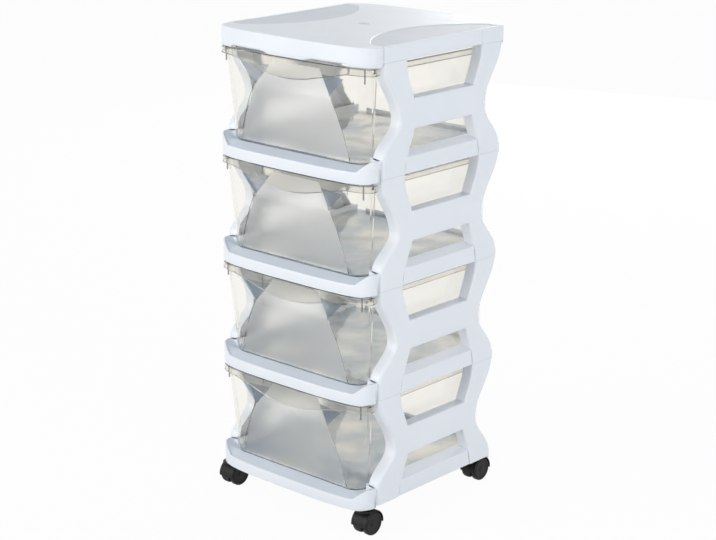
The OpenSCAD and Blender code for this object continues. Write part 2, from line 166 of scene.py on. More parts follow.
def smooth_step(s: float) -> float:
    """A smooth rise from 0 to 1 that is held at both ends."""
    return (1 - math.cos(math.pi * min(1.0, max(0.0, s)))) / 2


def blend(a: float, b: float, t: float) -> float:
    """The value a share t of the way from a to b."""
    return a + (b - a) * t


def bow_shares(power: float, steps: int = 20) -> list[float]:
    """Places across a bowed edge, as shares of its half width, close together at the corners.

    Args:
        power: Squareness of the bow's corners.
        steps: Number of even steps of the angle from the middle to either side.

    Returns:
        The shares from -1 to 1.
    """
    turns = [math.pi / 2 * i / steps for i in range(steps + 1)]
    right = [round(math.sin(turn) ** (2 / power), 5) for turn in turns]
    return [-share for share in reversed(right[1:])] + right


# ---------- shaping ----------


class Mould:
    """A bmesh being shaped, with the few operations that the pieces share."""

    def __init__(self) -> None:
        """Starts with nothing."""
        self.bm = bmesh.new()

    def ring(self, places: Sequence[Vector]) -> Ring:
        """Makes a closed ring of edges.

        Args:
            places: Where its vertices go.

        Returns:
            The vertices.
        """
        verts = [self.bm.verts.new(place) for place in places]
        for a, b in zip(verts, verts[1:] + verts[:1]):
            self.bm.edges.new((a, b))
        return verts

    def edges_of(self, ring: Ring) -> list[bmesh.types.BMEdge]:
        """The edges of a closed ring."""
        return [self.bm.edges.get(pair) for pair in zip(ring, ring[1:] + ring[:1])]

    def grow(self, ring: Ring, places: Sequence[Vector],
             paint: Callable[[int], int] | None = None) -> Ring:
        """Extrudes a closed ring of edges to new places.

        Args:
            ring: The ring to extrude.
            places: Where each new vertex goes, in the ring's order.
            paint: Gives the material index of the face after each vertex.

        Returns:
            The new ring.
        """
        made = bmesh.ops.extrude_edge_only(self.bm, edges=self.edges_of(ring))["geom"]
        new = {item for item in made if isinstance(item, bmesh.types.BMVert)}
        grown = []
        for vert, place in zip(ring, places):
            child = next(e.other_vert(vert) for e in vert.link_edges if e.other_vert(vert) in new)
            child.co = place
            grown.append(child)
        if paint is not None:
            for i, edge in enumerate(self.edges_of(grown)):
                for face in edge.link_faces:
                    face.material_index = paint(i)
        return grown

    def cap(self, ring: Ring) -> bmesh.types.BMFace:
        """Fills a ring with one face."""
        return bmesh.ops.contextual_create(self.bm, geom=self.edges_of(ring))["faces"][0]

    def prism(self, outline: Sequence[Vector], along: Vector) -> bmesh.types.BMFace:
        """Extrudes an outline along a vector.

        Args:
            outline: The outline's corners.
            along: Direction and length of the extrusion.

        Returns:
            The far face.
        """
        near = self.cap(self.ring(outline))
        made = bmesh.ops.extrude_face_region(self.bm, geom=[near], use_keep_orig=True)["geom"]
        far = next(item for item in made if isinstance(item, bmesh.types.BMFace))
        bmesh.ops.translate(self.bm, verts=far.verts, vec=along)
        return far

    def block(self, low: Sequence[float], high: Sequence[float], bevel: float = 0.0) -> None:
        """Adds a box.

        Args:
            low: Its lowest corner.
            high: Its highest corner.
            bevel: Width of the bevel on its edges, or 0 for sharp ones.
        """
        low, high = Vector(low), Vector(high)
        place = Matrix.Translation((low + high) / 2) @ Matrix.Diagonal((*(high - low), 1))
        made = bmesh.ops.create_cube(self.bm, size=1, matrix=place)["verts"]
        if bevel:
            self.round_edges({e for v in made for e in v.link_edges}, bevel, 2)

    def round_edges(self, edges: Sequence[bmesh.types.BMEdge], offset: float,
                    segments: int) -> None:
        """Bevels edges to a round of that offset."""
        bmesh.ops.bevel(self.bm, geom=list(edges), offset=offset, segments=segments, profile=0.5,
                        affect="EDGES", material=-1, clamp_overlap=True)

    def turn(self, profile: Sequence[tuple[float, float]], centre: Vector, axis: Vector,
             steps: int = 48, angle: float = math.tau, start: float = 0.0) -> None:
        """Spins a closed profile round an axis.

        Args:
            profile: Corners as (distance along the axis, radius).
            centre: A point on the axis.
            axis: Direction of the axis.
            steps: Number of steps of the spin.
            angle: How far it is spun.
            start: Angle at which the profile starts, from the axis's own zero.
        """
        axis = Vector(axis).normalized()
        zero = UP if abs(axis.z) < 0.5 else ACROSS
        out = Matrix.Rotation(start, 3, axis) @ zero
        ring = self.ring([Vector(centre) + axis * a + out * max(r, POLE_R) for a, r in profile])
        full = abs(angle - math.tau) < TINY
        geom = self.edges_of(ring) if full else [self.cap(ring)]
        bmesh.ops.spin(self.bm, geom=geom, cent=centre, axis=axis, angle=angle, steps=steps,
                       use_merge=full, use_duplicate=False)

    def mirror_x(self) -> None:
        """Turns the whole shape into its left-hand twin."""
        bmesh.ops.scale(self.bm, verts=self.bm.verts, vec=(-1, 1, 1))
        bmesh.ops.reverse_faces(self.bm, faces=self.bm.faces)

    def move(self, by: Vector) -> None:
        """Moves the whole shape."""
        bmesh.ops.translate(self.bm, verts=self.bm.verts, vec=by)

    def settle(self, open_shell: bool) -> None:
        """Makes all faces point outwards.

        Args:
            open_shell: Whether the shape is open, so that outwards has to be told from its middle.
        """
        bmesh.ops.recalc_face_normals(self.bm, faces=self.bm.faces)
        if open_shell:
            centres = [face.calc_center_median() for face in self.bm.faces]
            middle = sum(centres, Vector()) / len(centres)
            outward = sum((centre - middle).dot(face.normal) * face.calc_area()
                          for centre, face in zip(centres, self.bm.faces))
            if outward < 0:
                bmesh.ops.reverse_faces(self.bm, faces=self.bm.faces)

    def piece(self, name: str, finishes: Sequence["Finish"], wall: float = 0.0,
              sharp: float = 35.0) -> bpy.types.Object:
        """Makes the shape an object.

        Args:
            name: The piece's name.
            finishes: Its finishes, in the order of its material indices.
            wall: Thickness that a modifier gives an open shell, inwards.
            sharp: Angle in degrees over which an edge shades as a crease.

        Returns:
            The object, at the origin.
        """
        bmesh.ops.remove_doubles(self.bm, verts=self.bm.verts, dist=TINY)
        self.settle(bool(wall))
        for face in self.bm.faces:
            face.smooth = True
        mesh = bpy.data.meshes.new(name)
        self.bm.to_mesh(mesh)
        self.bm.free()
        mesh.set_sharp_from_angle(angle=math.radians(sharp))
        obj = bpy.data.objects.new(name, mesh)
        bpy.context.scene.collection.objects.link(obj)
        for finish in finishes:
            mesh.materials.append(finish.material())
        if wall:
            shell = obj.modifiers.new("wall", "SOLIDIFY")
            shell.thickness = wall
            shell.offset = -1
            shell.use_even_offset = False
        even = obj.modifiers.new("even_shading", "WEIGHTED_NORMAL")
        even.keep_sharp = True
        return obj


# ---------- finishes ----------


class Slot(Enum):
    """The record's material slots."""

    FRAME = "frame_plastic"
    DRAWER = "drawer_plastic"
    CASTER = "caster_plastic"
    STEEL = "steel"


class NodeTree:
    """A material's or a group's node tree, with short calls to add and link nodes."""

    def __init__(self, tree: bpy.types.NodeTree) -> None:
        """Wraps a tree."""
        self.tree = tree

    def add(self, kind: str, **values: object) -> bpy.types.Node:
        """Adds a node.

        Args:
            kind: Its type.
            values: Its properties by name.

        Returns:
            The node.
        """
        node = self.tree.nodes.new(kind)
        for key, value in values.items():
            setattr(node, key, value)
        return node

    def link(self, source: bpy.types.NodeSocket, target: bpy.types.NodeSocket) -> None:
        """Links two sockets."""
        self.tree.links.new(source, target)

    def ramp(self, source: bpy.types.NodeSocket, low: float, high: float,
             to_low: float, to_high: float) -> bpy.types.NodeSocket:
        """Maps a value's range to another one, with soft ends.

        Args:
            source: The value's socket.
            low: Start of its range.
            high: End of its range.
            to_low: Start of the new range.
            to_high: End of the new range.

        Returns:
            The new value's socket.
        """
        node = self.add("ShaderNodeMapRange", interpolation_type="SMOOTHSTEP")
        node.inputs["From Min"].default_value = low
        node.inputs["From Max"].default_value = high
        node.inputs["To Min"].default_value = to_low
        node.inputs["To Max"].default_value = to_high
        self.link(source, node.inputs["Value"])
        return node.outputs["Result"]

    def mix_color(self, factor: bpy.types.NodeSocket, a: Sequence[float],
                  b: Sequence[float]) -> bpy.types.NodeSocket:
        """Mixes two colours.

        Args:
            factor: Socket of the second colour's share.
            a: The first colour.
            b: The second colour.

        Returns:
            The mixed colour's socket.
        """
        node = self.add("ShaderNodeMix", data_type="RGBA")
        node.inputs["A"].default_value = (*a, 1)
        node.inputs["B"].default_value = (*b, 1)
        self.link(factor, node.inputs["Factor"])
        return node.outputs["Result"]

    def mix_shaders(self, factor: bpy.types.NodeSocket, a: bpy.types.Node, b: bpy.types.Node,
                    target: bpy.types.NodeSocket) -> None:
        """Mixes two shaders.

        Args:
            factor: Socket of the second shader's share.
            a: The first shader.
            b: The second shader.
            target: Socket that takes the mix.
        """
        node = self.add("ShaderNodeMixShader")
        self.link(factor, node.inputs["Fac"])
        for place, shader in ((1, a), (2, b)):
            self.link(shader.outputs[0], node.inputs[place])
        self.link(node.outputs["Shader"], target)

    def noise(self, vector: bpy.types.NodeSocket, scale: bpy.types.NodeSocket | float,
              **values: float) -> bpy.types.NodeSocket:
        """Adds a noise texture.

        Args:
            vector: Where the noise is read.
            scale: Its scale, as a number or a socket.
            values: Its other inputs by name.

        Returns:
            The socket of its value.
        """
        node = self.add("ShaderNodeTexNoise")
        self.link(vector, node.inputs["Vector"])
        if isinstance(scale, bpy.types.NodeSocket):
            self.link(scale, node.inputs["Scale"])
        else:
            node.inputs["Scale"].default_value = scale
        for key, value in values.items():
            node.inputs[key].default_value = value
        return node.outputs["Fac"]

    def rays(self, *kinds: str) -> bpy.types.NodeSocket:
        """Tells some kinds of rays from the others.

        Args:
            kinds: Names of the Light Path outputs.

        Returns:
            The socket of a factor that is 1 for a ray of any of them.
        """
        path = self.add("ShaderNodeLightPath")
        found = path.outputs[kinds[0]]
        for kind in kinds[1:]:
            node = self.add("ShaderNodeMath", operation="MAXIMUM")
            self.link(found, node.inputs[0])
            self.link(path.outputs[kind], node.inputs[1])
            found = node.outputs[0]
        return found


def cleared(owner: bpy.types.Material | bpy.types.World) -> NodeTree:
    """Empties the node tree of a material or a world.

    Args:
        owner: The material or the world.

    Returns:
        Its empty tree.
    """
    owner.use_nodes = True
    owner.node_tree.nodes.clear()
    return NodeTree(owner.node_tree)


def moulded_group() -> bpy.types.ShaderNodeTree:
    """The shared look of moulded plastic: slow cloudy tone, flow streaks and fine grain; the cloudy
    tone also paints the drawer floor's reflections and shade.

    Returns:
        The node group, built once. It puts out a tone, which is painted light and shade on the
        drawer floor, a streak mask, a grain height and a wave height.
    """
    name = "moulded_plastic"
    if name in bpy.data.node_groups:
        return bpy.data.node_groups[name]
    group = bpy.data.node_groups.new(name, "ShaderNodeTree")
    face = group.interface
    face.new_socket("Vector", in_out="INPUT", socket_type="NodeSocketVector")
    for label, value in (("Cloud Scale", 9.0), ("Grain Scale", 900.0), ("Wave Scale", 16.0)):
        face.new_socket(label, in_out="INPUT", socket_type="NodeSocketFloat").default_value = value
    for label in ("Tone", "Streaks", "Grain", "Wave"):
        face.new_socket(label, in_out="OUTPUT", socket_type="NodeSocketFloat")
    nt = NodeTree(group)
    given = nt.add("NodeGroupInput")
    out = nt.add("NodeGroupOutput")
    place = given.outputs["Vector"]
    cloud = nt.noise(place, given.outputs["Cloud Scale"], Detail=3, Roughness=0.45)
    nt.link(nt.ramp(cloud, 0.25, 0.75, 0, 1), out.inputs["Tone"])
    flow = nt.add("ShaderNodeMapping")
    flow.inputs["Scale"].default_value = (1, 1, 0.12)
    nt.link(place, flow.inputs["Vector"])
    streak = nt.noise(flow.outputs["Vector"], 60, Detail=2)
    nt.link(nt.ramp(streak, 0.4, 0.7, 0, 1), out.inputs["Streaks"])
    nt.link(nt.noise(place, given.outputs["Grain Scale"], Detail=1), out.inputs["Grain"])
    wave = nt.noise(place, given.outputs["Wave Scale"], Detail=1, Distortion=0.6)
    nt.link(wave, out.inputs["Wave"])
    return group


@dataclass(frozen=True)
class Finish:
    """A finish and the record's slot that it belongs to."""

    name: str
    slot: Slot
    color: tuple[float, float, float]
    shade: tuple[float, float, float]
    roughness: float
    spread: float = 1.18
    grain_scale: float = 900.0
    grain_depth: float = 0.0004
    bump: float = 0.06
    cloud_scale: float = 9.0
    wave: float = 0.0
    wave_scale: float = 16.0
    mottle: str = "Streaks"

    def material(self) -> bpy.types.Material:
        """Builds the finish's material, the first time it is asked for.

        Returns:
            The material.
        """
        if self.name in bpy.data.materials:
            return bpy.data.materials[self.name]
        made = bpy.data.materials.new(self.name)
        nt = cleared(made)
        self.shader(nt, nt.add("ShaderNodeOutputMaterial").inputs["Surface"])
        return made

    def surface(self, nt: NodeTree) -> bpy.types.Node:
        """Adds the plain plastic surface that every finish starts from.

        Args:
            nt: The material's tree.

        Returns:
            The Principled shader.
        """
        place = nt.add("ShaderNodeTexCoord")
        look = nt.add("ShaderNodeGroup", node_tree=moulded_group())
        look.inputs["Cloud Scale"].default_value = self.cloud_scale
        look.inputs["Grain Scale"].default_value = self.grain_scale
        nt.link(place.outputs["Object"], look.inputs["Vector"])
        body = nt.add("ShaderNodeBsdfPrincipled")
        # The colour follows the cloudy tone; on the drawer floor its blotches are painted
        # reflections and shade.
        tone_and_light = nt.mix_color(look.outputs["Tone"], self.color, self.shade)
        nt.link(tone_and_light, body.inputs["Base Color"])
        rough = self.roughness
        nt.link(nt.ramp(look.outputs[self.mottle], 0, 1, rough, rough * self.spread),
                body.inputs["Roughness"])
        bump = nt.add("ShaderNodeBump")
        bump.inputs["Strength"].default_value = self.bump
        bump.inputs["Distance"].default_value = self.grain_depth
        nt.link(look.outputs["Grain"], bump.inputs["Height"])
        nt.link(bump.outputs["Normal"], body.inputs["Normal"])
        if self.wave:
            look.inputs["Wave Scale"].default_value = self.wave_scale
            slow = nt.add("ShaderNodeBump")
            slow.inputs["Strength"].default_value = 1.0
            slow.inputs["Distance"].default_value = self.wave
            nt.link(look.outputs["Wave"], slow.inputs["Height"])
            nt.link(slow.outputs["Normal"], bump.inputs["Normal"])
        return body

    def shader(self, nt: NodeTree, target: bpy.types.NodeSocket) -> None:
        """Builds the finish's shader into the target socket."""
        nt.link(self.surface(nt).outputs["BSDF"], target)


@dataclass(frozen=True)
class SatinPlastic(Finish):
    """Opaque satin plastic with a set strength of its specular reflection."""

    specular: float = 0.5

    def shader(self, nt: NodeTree, target: bpy.types.NodeSocket) -> None:
        """Builds the finish's shader into the target socket."""
        body = self.surface(nt)
        body.inputs["Specular IOR Level"].default_value = self.specular
        nt.link(body.outputs["BSDF"], target)


@dataclass(frozen=True)
class Steel(Finish):
    """Bright drawn steel."""

    def shader(self, nt: NodeTree, target: bpy.types.NodeSocket) -> None:
        """Builds the finish's shader into the target socket."""
        body = self.surface(nt)
        body.inputs["Metallic"].default_value = 1.0
        nt.link(body.outputs["BSDF"], target)


@dataclass(frozen=True)
class ClearPlastic(Finish):
    """Clear or frosted plastic that bends light, but lets lamps and soft light straight through."""

    mottle: str = "Tone"
    pass_tint: tuple[float, float, float] = (0.985, 0.98, 0.97)
    ior: float = 1.46

    def shader(self, nt: NodeTree, target: bpy.types.NodeSocket) -> None:
        """Builds the finish's shader.

        Args:
            nt: The material's tree.
            target: Socket that takes the shader.
        """
        body = self.surface(nt)
        body.inputs["Transmission Weight"].default_value = 1.0
        body.inputs["IOR"].default_value = self.ior
        straight = nt.add("ShaderNodeBsdfTransparent")
        straight.inputs["Color"].default_value = (*self.pass_tint, 1)
        nt.mix_shaders(nt.rays("Is Shadow Ray", "Is Diffuse Ray"), body, straight, target)


FRAME_WHITE = SatinPlastic("frame_white", Slot.FRAME, (0.79, 0.82, 0.865), (0.765, 0.795, 0.845),
                           roughness=0.34, bump=0.05)
# The fields' darker colour is painted shade for the duller way light leaves their textured surface;
# their roughness and bumps are the real texture.
LID_FIELD_PAINTED_SHADE = SatinPlastic("lid_field_painted_shade", Slot.FRAME, (0.655, 0.675, 0.71), (0.63, 0.65, 0.69),
                         roughness=0.5, bump=0.12)
LID_TOP = SatinPlastic("lid_top", Slot.FRAME, (0.80, 0.815, 0.84), (0.77, 0.79, 0.82),
                       roughness=0.42, bump=0.1)
# The ledge's blue-grey is painted shade for the shade the drawer casts on the strip; its roughness
# and bumps are a real matt finish.
LEDGE_PAINTED_SHADE = SatinPlastic("shelf_ledge_painted_shade", Slot.FRAME, (0.64, 0.69, 0.75), (0.61, 0.66, 0.73),
                     roughness=0.55, bump=0.12)
CLEAR = ClearPlastic("drawer_clear", Slot.DRAWER, (0.965, 0.952, 0.92), (0.95, 0.94, 0.91),
                     roughness=0.015, bump=0.008, wave=0.0008)
FROST = ClearPlastic("drawer_frost", Slot.DRAWER, (0.955, 0.95, 0.93), (0.90, 0.915, 0.925),
                     roughness=0.285, bump=0.03)
# Dark blue-grey painted shade on the recess's side facets, where the shaded inside shows dark.
FACET_PAINTED_SHADE = ClearPlastic("drawer_facet_painted_shade", Slot.DRAWER, (0.52, 0.58, 0.65), (0.44, 0.51, 0.60),
                     roughness=0.10, bump=0.02)
# The floor's cream and blue-grey blotches are painted reflections and painted shade, for bright
# surroundings and shaded rails seen in it and through it.
FLOOR_PAINTED_LIGHT = ClearPlastic("drawer_floor_painted_light", Slot.DRAWER, (1.0, 0.96, 0.88), (0.44, 0.52, 0.60),
                     roughness=0.05, bump=0.02, cloud_scale=12, wave=0.002, wave_scale=9)
FOLD = ClearPlastic("drawer_fold", Slot.DRAWER, (0.98, 0.975, 0.96), (0.97, 0.965, 0.95),
                    roughness=0.02, bump=0.008, ior=1.03)
RIM = ClearPlastic("drawer_rim", Slot.DRAWER, (0.86, 0.845, 0.80), (0.84, 0.83, 0.79),
                   roughness=0.06, bump=0.02)
# The dark tint on the clear fins is painted shade, drawing the dark line that the rib shows.
FIN_PAINTED_SHADE = ClearPlastic("drawer_fin_painted_shade", Slot.DRAWER, (0.34, 0.32, 0.30), (0.30, 0.29, 0.27),
                   roughness=0.1, bump=0.02)
CASTER_BLACK = SatinPlastic("caster_black", Slot.CASTER, (0.010, 0.010, 0.011),
                            (0.008, 0.008, 0.009), roughness=0.42, grain_scale=1400, bump=0.25,
                            specular=0.22)
STEEL = Steel("bright_steel", Slot.STEEL, (0.60, 0.61, 0.62), (0.54, 0.55, 0.57), roughness=0.28,
              bump=0.03)


# ---------- side frames ----------


@dataclass(frozen=True)
class SideFrame:
    """A side frame: two waisted posts and a mid rail, open towards the drawer."""

    layout: Layout
    rail_low: float = 0.069
    rail_h: float = 0.049
    rail_gap: float = 0.002
    wall: float = 0.0025
    outer_round: float = 0.006
    window_round: float = 0.003
    seam_round: float = 0.0007
    stub_h: float = 0.0085
    stub_l: float = 0.024
    stub_t: float = 0.009
    stub_bevel: float = 0.0008
    steps: int = 36

    def outline(self) -> list[tuple[float, float]]:
        """Draws the posts and the rail.

        Returns:
            The closed outline as (y, z), from the front post's foot.
        """
        lay = self.layout
        zs = [lay.tier_h * i / self.steps for i in range(self.steps + 1)]
        rail_top = self.rail_low + self.rail_h
        upper = [z for z in zs if z > rail_top + self.rail_gap]
        lower = [z for z in zs if z < self.rail_low - self.rail_gap]
        points = [(-lay.outer_edge(z, lay.front_hold), z) for z in zs]
        points += [(-lay.window_edge(z), z) for z in reversed(upper)]
        points += [(side * lay.window_edge(rail_top), rail_top) for side in (-1, 1)]
        points += [(lay.window_edge(z), z) for z in upper]
        points += [(lay.outer_edge(z, lay.rear_hold), z) for z in reversed(zs)]
        points += [(lay.window_edge(z), z) for z in lower]
        points += [(side * lay.window_edge(self.rail_low), self.rail_low) for side in (1, -1)]
        points += [(-lay.window_edge(z), z) for z in reversed(lower)]
        return points

    def shape(self) -> Mould:
        """Models the right-hand frame.

        Returns:
            The shape, with its foot at height 0.
        """
        lay = self.layout
        mould = Mould()
        base = [Vector((lay.post_x, y, z)) for y, z in self.outline()]
        mould.prism(base, Vector((lay.post_depth, 0, 0)))
        mould.bm.normal_update()

        def on_edge(vert: bmesh.types.BMVert, reach: float) -> bool:
            """Whether a vertex lies on the outer face, that far from the tower's middle."""
            y = abs(vert.co.y)
            return vert.co.x > lay.half_w - 10 * TINY and abs(y - reach) < TINY

        def on_outer(vert: bmesh.types.BMVert) -> bool:
            """Whether a vertex lies on a post's outer edge."""
            hold = lay.front_hold if vert.co.y < 0 else lay.rear_hold
            return on_edge(vert, lay.outer_edge(vert.co.z, hold))

        def on_window(vert: bmesh.types.BMVert) -> bool:
            """Whether a vertex lies on a window's edge."""
            return on_edge(vert, lay.window_edge(vert.co.z))

        outer = [e for e in mould.bm.edges if all(map(on_outer, e.verts))]
        mould.round_edges(outer, self.outer_round, 6)
        window = [e for e in mould.bm.edges if all(map(on_window, e.verts))]
        mould.round_edges(window, self.window_round, 4)
        for level in (0.0, lay.tier_h):
            seam = [e for e in mould.bm.edges if all(
                abs(v.co.z - level) < TINY and v.co.x > lay.post_x + TINY for v in e.verts)]
            mould.round_edges(seam, self.seam_round, 2)
        inner = [f for f in mould.bm.faces if all(abs(v.co.x - lay.post_x) < TINY for v in f.verts)]
        bmesh.ops.delete(mould.bm, geom=inner, context="FACES")
        x, half_t, half_l = lay.half_w - lay.post_depth / 2, self.stub_t / 2, self.stub_l / 2
        for y in (-lay.foot_y, lay.foot_y):
            mould.block((x - half_t, y - half_l, lay.tier_h - self.wall),
                        (x + half_t, y + half_l, lay.tier_h + self.stub_h), self.stub_bevel)
        return mould

    def make(self) -> None:
        """Makes the eight frames, one each side of every drawer."""
        lay = self.layout
        for tier in range(1, lay.tiers + 1):
            for side in ("left", "right"):
                mould = self.shape()
                if side == "left":
                    mould.mirror_x()
                mould.move(UP * lay.seam_z(tier))
                obj = mould.piece(f"{side}_frame_{tier}", [FRAME_WHITE], wall=self.wall)
                place(obj, "frame", Slot.FRAME, f"side_frame_{side}_{tier}")


def place(obj: bpy.types.Object, body: str, slot: Slot, *nodes: str) -> None:
    """Puts a finished piece into the frame.

    Args:
        obj: The piece.
        body: The CAD body that it rides on.
        slot: The record's material slot of its finish; not used.
        nodes: The CAD nodes that it stands for.
    """
    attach(obj, body)
    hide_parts(*nodes)
    log.info("%s rides on %s for %s", obj.name, body, ", ".join(nodes))


# ---------- shelves ----------


class TrayFinish(IntEnum):
    """Places of the finishes in a tray's list."""

    GLOSS = 0
    # The matt ledge finish, whose darker colour is painted shade.
    MATT_PAINTED_SHADE = 1


@dataclass(frozen=True)
class Shelf:
    """A tray between two drawers: hanging lips, raised corners, guide shoulders and side skirts."""

    layout: Layout
    lip_h: float = 0.0125
    ledge_d: float = 0.020
    skirt_h: float = 0.0265
    guide_h: float = 0.032
    guide_wall: float = 0.0057
    core_gap: float = 0.0002
    skirt_inset: float = 0.002
    riser_from: float = 0.138
    riser_to: float = 0.159
    riser_top: float = 0.030
    lip_fade: float = 0.0025
    fade_from: float = 0.9
    matt_shade_from: int = 3
    wall: float = 0.0025
    side_steps: int = 6
    rib_t: float = 0.002
    rib_low: float = 0.002
    guide_round: float = 0.001
    skirt_root: float = 0.0008
    skirt_round: float = 0.0014
    skirt_ease: float = 0.0004
    skirt_gap: float = 0.0003
    overlap: float = 0.001
    lug_l: float = 0.024
    lug_reach: float = 0.009
    lug_z: tuple[float, float] = (0.012, 0.019)
    lug_bevel: float = 0.0006
    stop_inset: float = 0.020
    stop_y: tuple[float, float] = (0.003, 0.006)
    stop_h: float = 0.008
    stop_bevel: float = 0.0007
    socket_l: float = 0.0172
    socket_r: tuple[float, float] = (0.00355, 0.0065)

    @property
    def core_x(self) -> float:
        """Half the width between the posts."""
        return self.layout.post_x - self.core_gap

    def riser(self, x: float) -> float:
        """Height of the raised corner's top at a place across the shelf."""
        share = (abs(x) - self.riser_from) / (self.riser_to - self.riser_from)
        return blend(self.lip_h, self.riser_top, min(1.0, max(0.0, share)))

    def stations(self) -> list[tuple[float, float, float, float]]:
        """The tray's section, from the outer edge in to the deck.

        Returns:
            For each ring: inset and height of the lips, then place and height of the guides.
        """
        lay = self.layout
        core, guide = self.core_x, self.core_x - self.guide_wall
        top, deck, lip = self.guide_h, lay.deck_h, self.lip_h
        slope = [(0.0, -lay.lip_drop), (0.0, lip - 0.0022), (0.0006, lip - 0.0007), (0.0020, lip),
                 (0.0032, lip - 0.0012), (0.0060, lip - 0.0002),
                 (self.ledge_d, deck - 0.0004), (self.ledge_d + 0.004, deck)]
        r, ease = self.guide_round, 0.3 * self.guide_round
        sides = [(core, 0.0), (core, top - r), (core - ease, top - ease), (core - r, top),
                 (guide + r, top), (guide + ease, top - ease), (guide, top - r), (guide, deck)]
        return [(*a, *b) for a, b in zip(slope, sides)]

    def tray_ring(self, shares: Sequence[float], inset: float, z: float, side_x: float,
                  side_z: float) -> list[Vector]:
        """One closed ring of the tray: front lip, a guide, rear lip and the other guide.

        Args:
            shares: Places across the bowed lips.
            inset: How far the lips lie inside their outline.
            z: Their height above the seam.
            side_x: Where the guides lie.
            side_z: Their height.

        Returns:
            The ring's places.
        """
        lay = self.layout
        pairs = []
        for share in shares:
            lift = self.riser(share * (lay.seam_x - inset)) - self.lip_h
            if z < 0:
                faded = (abs(share) - self.fade_from) / (1 - self.fade_from)
                height = z + self.lip_fade * smooth_step(faded)
            else:
                height = z + lift if z <= self.lip_h else max(z, self.lip_h + lift)
            pairs.append(lay.edge_pair(share, inset, height, z))
        front, rear = zip(*pairs)
        steps = self.side_steps
        ys = [lay.seam_y * (2 * i / steps - 1) for i in range(steps + 1)]
        right = [Vector((side_x, y, side_z)) for y in ys]
        left = [Vector((-side_x, -y, side_z)) for y in ys]
        return [*front, *right, *reversed(rear), *left]

    def tray(self, mould: Mould) -> None:
        """Adds the deck with its lips, raised corners and guides.

        Args:
            mould: What it is added to.
        """
        shares = bow_shares(self.layout.bow_power)
        front_end = len(shares) - 1
        rear_from = len(shares) + self.side_steps
        rear_end = rear_from + len(shares)
        first, *others = self.stations()
        ring = mould.ring(self.tray_ring(shares, *first))
        for i, station in enumerate(others, 1):
            # Rings further in on the lips take the matt ledge finish, painted with the drawer's
            # shade.
            lip = TrayFinish.MATT_PAINTED_SHADE if i > self.matt_shade_from else TrayFinish.GLOSS
            ring = mould.grow(ring, self.tray_ring(shares, *station), lambda k, lip=lip: (
                lip if k < front_end or rear_from < k < rear_end else TrayFinish.GLOSS))
        mould.cap(ring).material_index = TrayFinish.GLOSS

    def skirts(self, mould: Mould) -> None:
        """Adds both side skirts, which slope up to the guides and end short of the posts.

        Args:
            mould: What it is added to.
        """
        lay = self.layout
        root_x, edge_x = self.core_x - self.skirt_root, lay.half_w - self.skirt_inset
        top, r, ease = self.skirt_h, self.skirt_round, self.skirt_ease
        section = [(root_x, 0.0), (edge_x, 0.0), (edge_x, top - r), (edge_x - ease, top - ease),
                   (edge_x - r, top + ease), (root_x, self.guide_h - ease)]
        for side in (-1, 1):
            ends = [[Vector((side * x, end * (lay.window_edge(z) - self.skirt_gap), z))
                     for x, z in section] for end in (-1, 1)]
            ring = mould.ring(ends[0])
            mould.cap(ring)
            mould.cap(mould.grow(ring, ends[1]))

    def underside(self, mould: Mould) -> None:
        """Adds the ribs under the deck and the lugs that enter the posts.

        Args:
            mould: What it is added to.
        """
        lay = self.layout
        reach = lay.seam_y + lay.bow - self.ledge_d
        half_t, low, high = self.rib_t / 2, self.rib_low, lay.deck_h - self.rib_low
        for x in (-self.core_x / 2, 0.0, self.core_x / 2):
            mould.block((x - half_t, -reach, low), (x + half_t, reach, high))
        for y in (-lay.seam_y / 2, lay.seam_y / 2):
            mould.block((-self.core_x, y - half_t, low), (self.core_x, y + half_t, high))
        lug = (self.core_x - self.overlap, self.core_x + self.lug_reach)
        for side in (-1, 1):
            for y in (-lay.foot_y, lay.foot_y):
                xs = sorted(side * x for x in lug)
                mould.block(*zip(xs, (y - self.lug_l / 2, y + self.lug_l / 2), self.lug_z),
                            self.lug_bevel)

    def rear_stop(self, mould: Mould) -> None:
        """Adds the low stop behind the drawer.

        Args:
            mould: What it is added to.
        """
        lay = self.layout
        stop_x = self.core_x - self.guide_wall - self.stop_inset
        near, far = (lay.seam_y + y for y in self.stop_y)
        mould.block((-stop_x, near, lay.deck_h - self.overlap),
                    (stop_x, far, lay.deck_h + self.stop_h), self.stop_bevel)

    def make(self) -> None:
        """Makes the base and the three shelves above it."""
        for tier, node in enumerate(("base_shelf", "shelf_1", "shelf_2", "shelf_3"), 1):
            lift = UP * self.layout.seam_z(tier)
            shell = Mould()
            self.tray(shell)
            shell.move(lift)
            obj = shell.piece(f"{node}_tray", [FRAME_WHITE, LEDGE_PAINTED_SHADE], wall=self.wall)
            place(obj, "frame", Slot.FRAME, node)
            solid = Mould()
            self.skirts(solid)
            self.underside(solid)
            self.rear_stop(solid)
            if tier == 1:
                self.sockets(solid)
            solid.move(lift)
            place(solid.piece(f"{node}_skirts", [FRAME_WHITE]), "frame", Slot.FRAME, node)

    def sockets(self, mould: Mould) -> None:
        """Adds the tubes under the base that hold the casters' stems.

        Args:
            mould: What it is added to.
        """
        bore, outer = self.socket_r
        tube = [(0.0, bore), (0.0, outer), (self.socket_l, outer), (self.socket_l, bore)]
        for name in Caster.NAMES:
            mould.turn(tube, Caster(name).swivel, UP, steps=40)


# ---------- top panel ----------


class LidFinish(IntEnum):
    """Places of the finishes in the lid's list."""

    SHELL = 0
    TOP = 1
    FIELD = 2


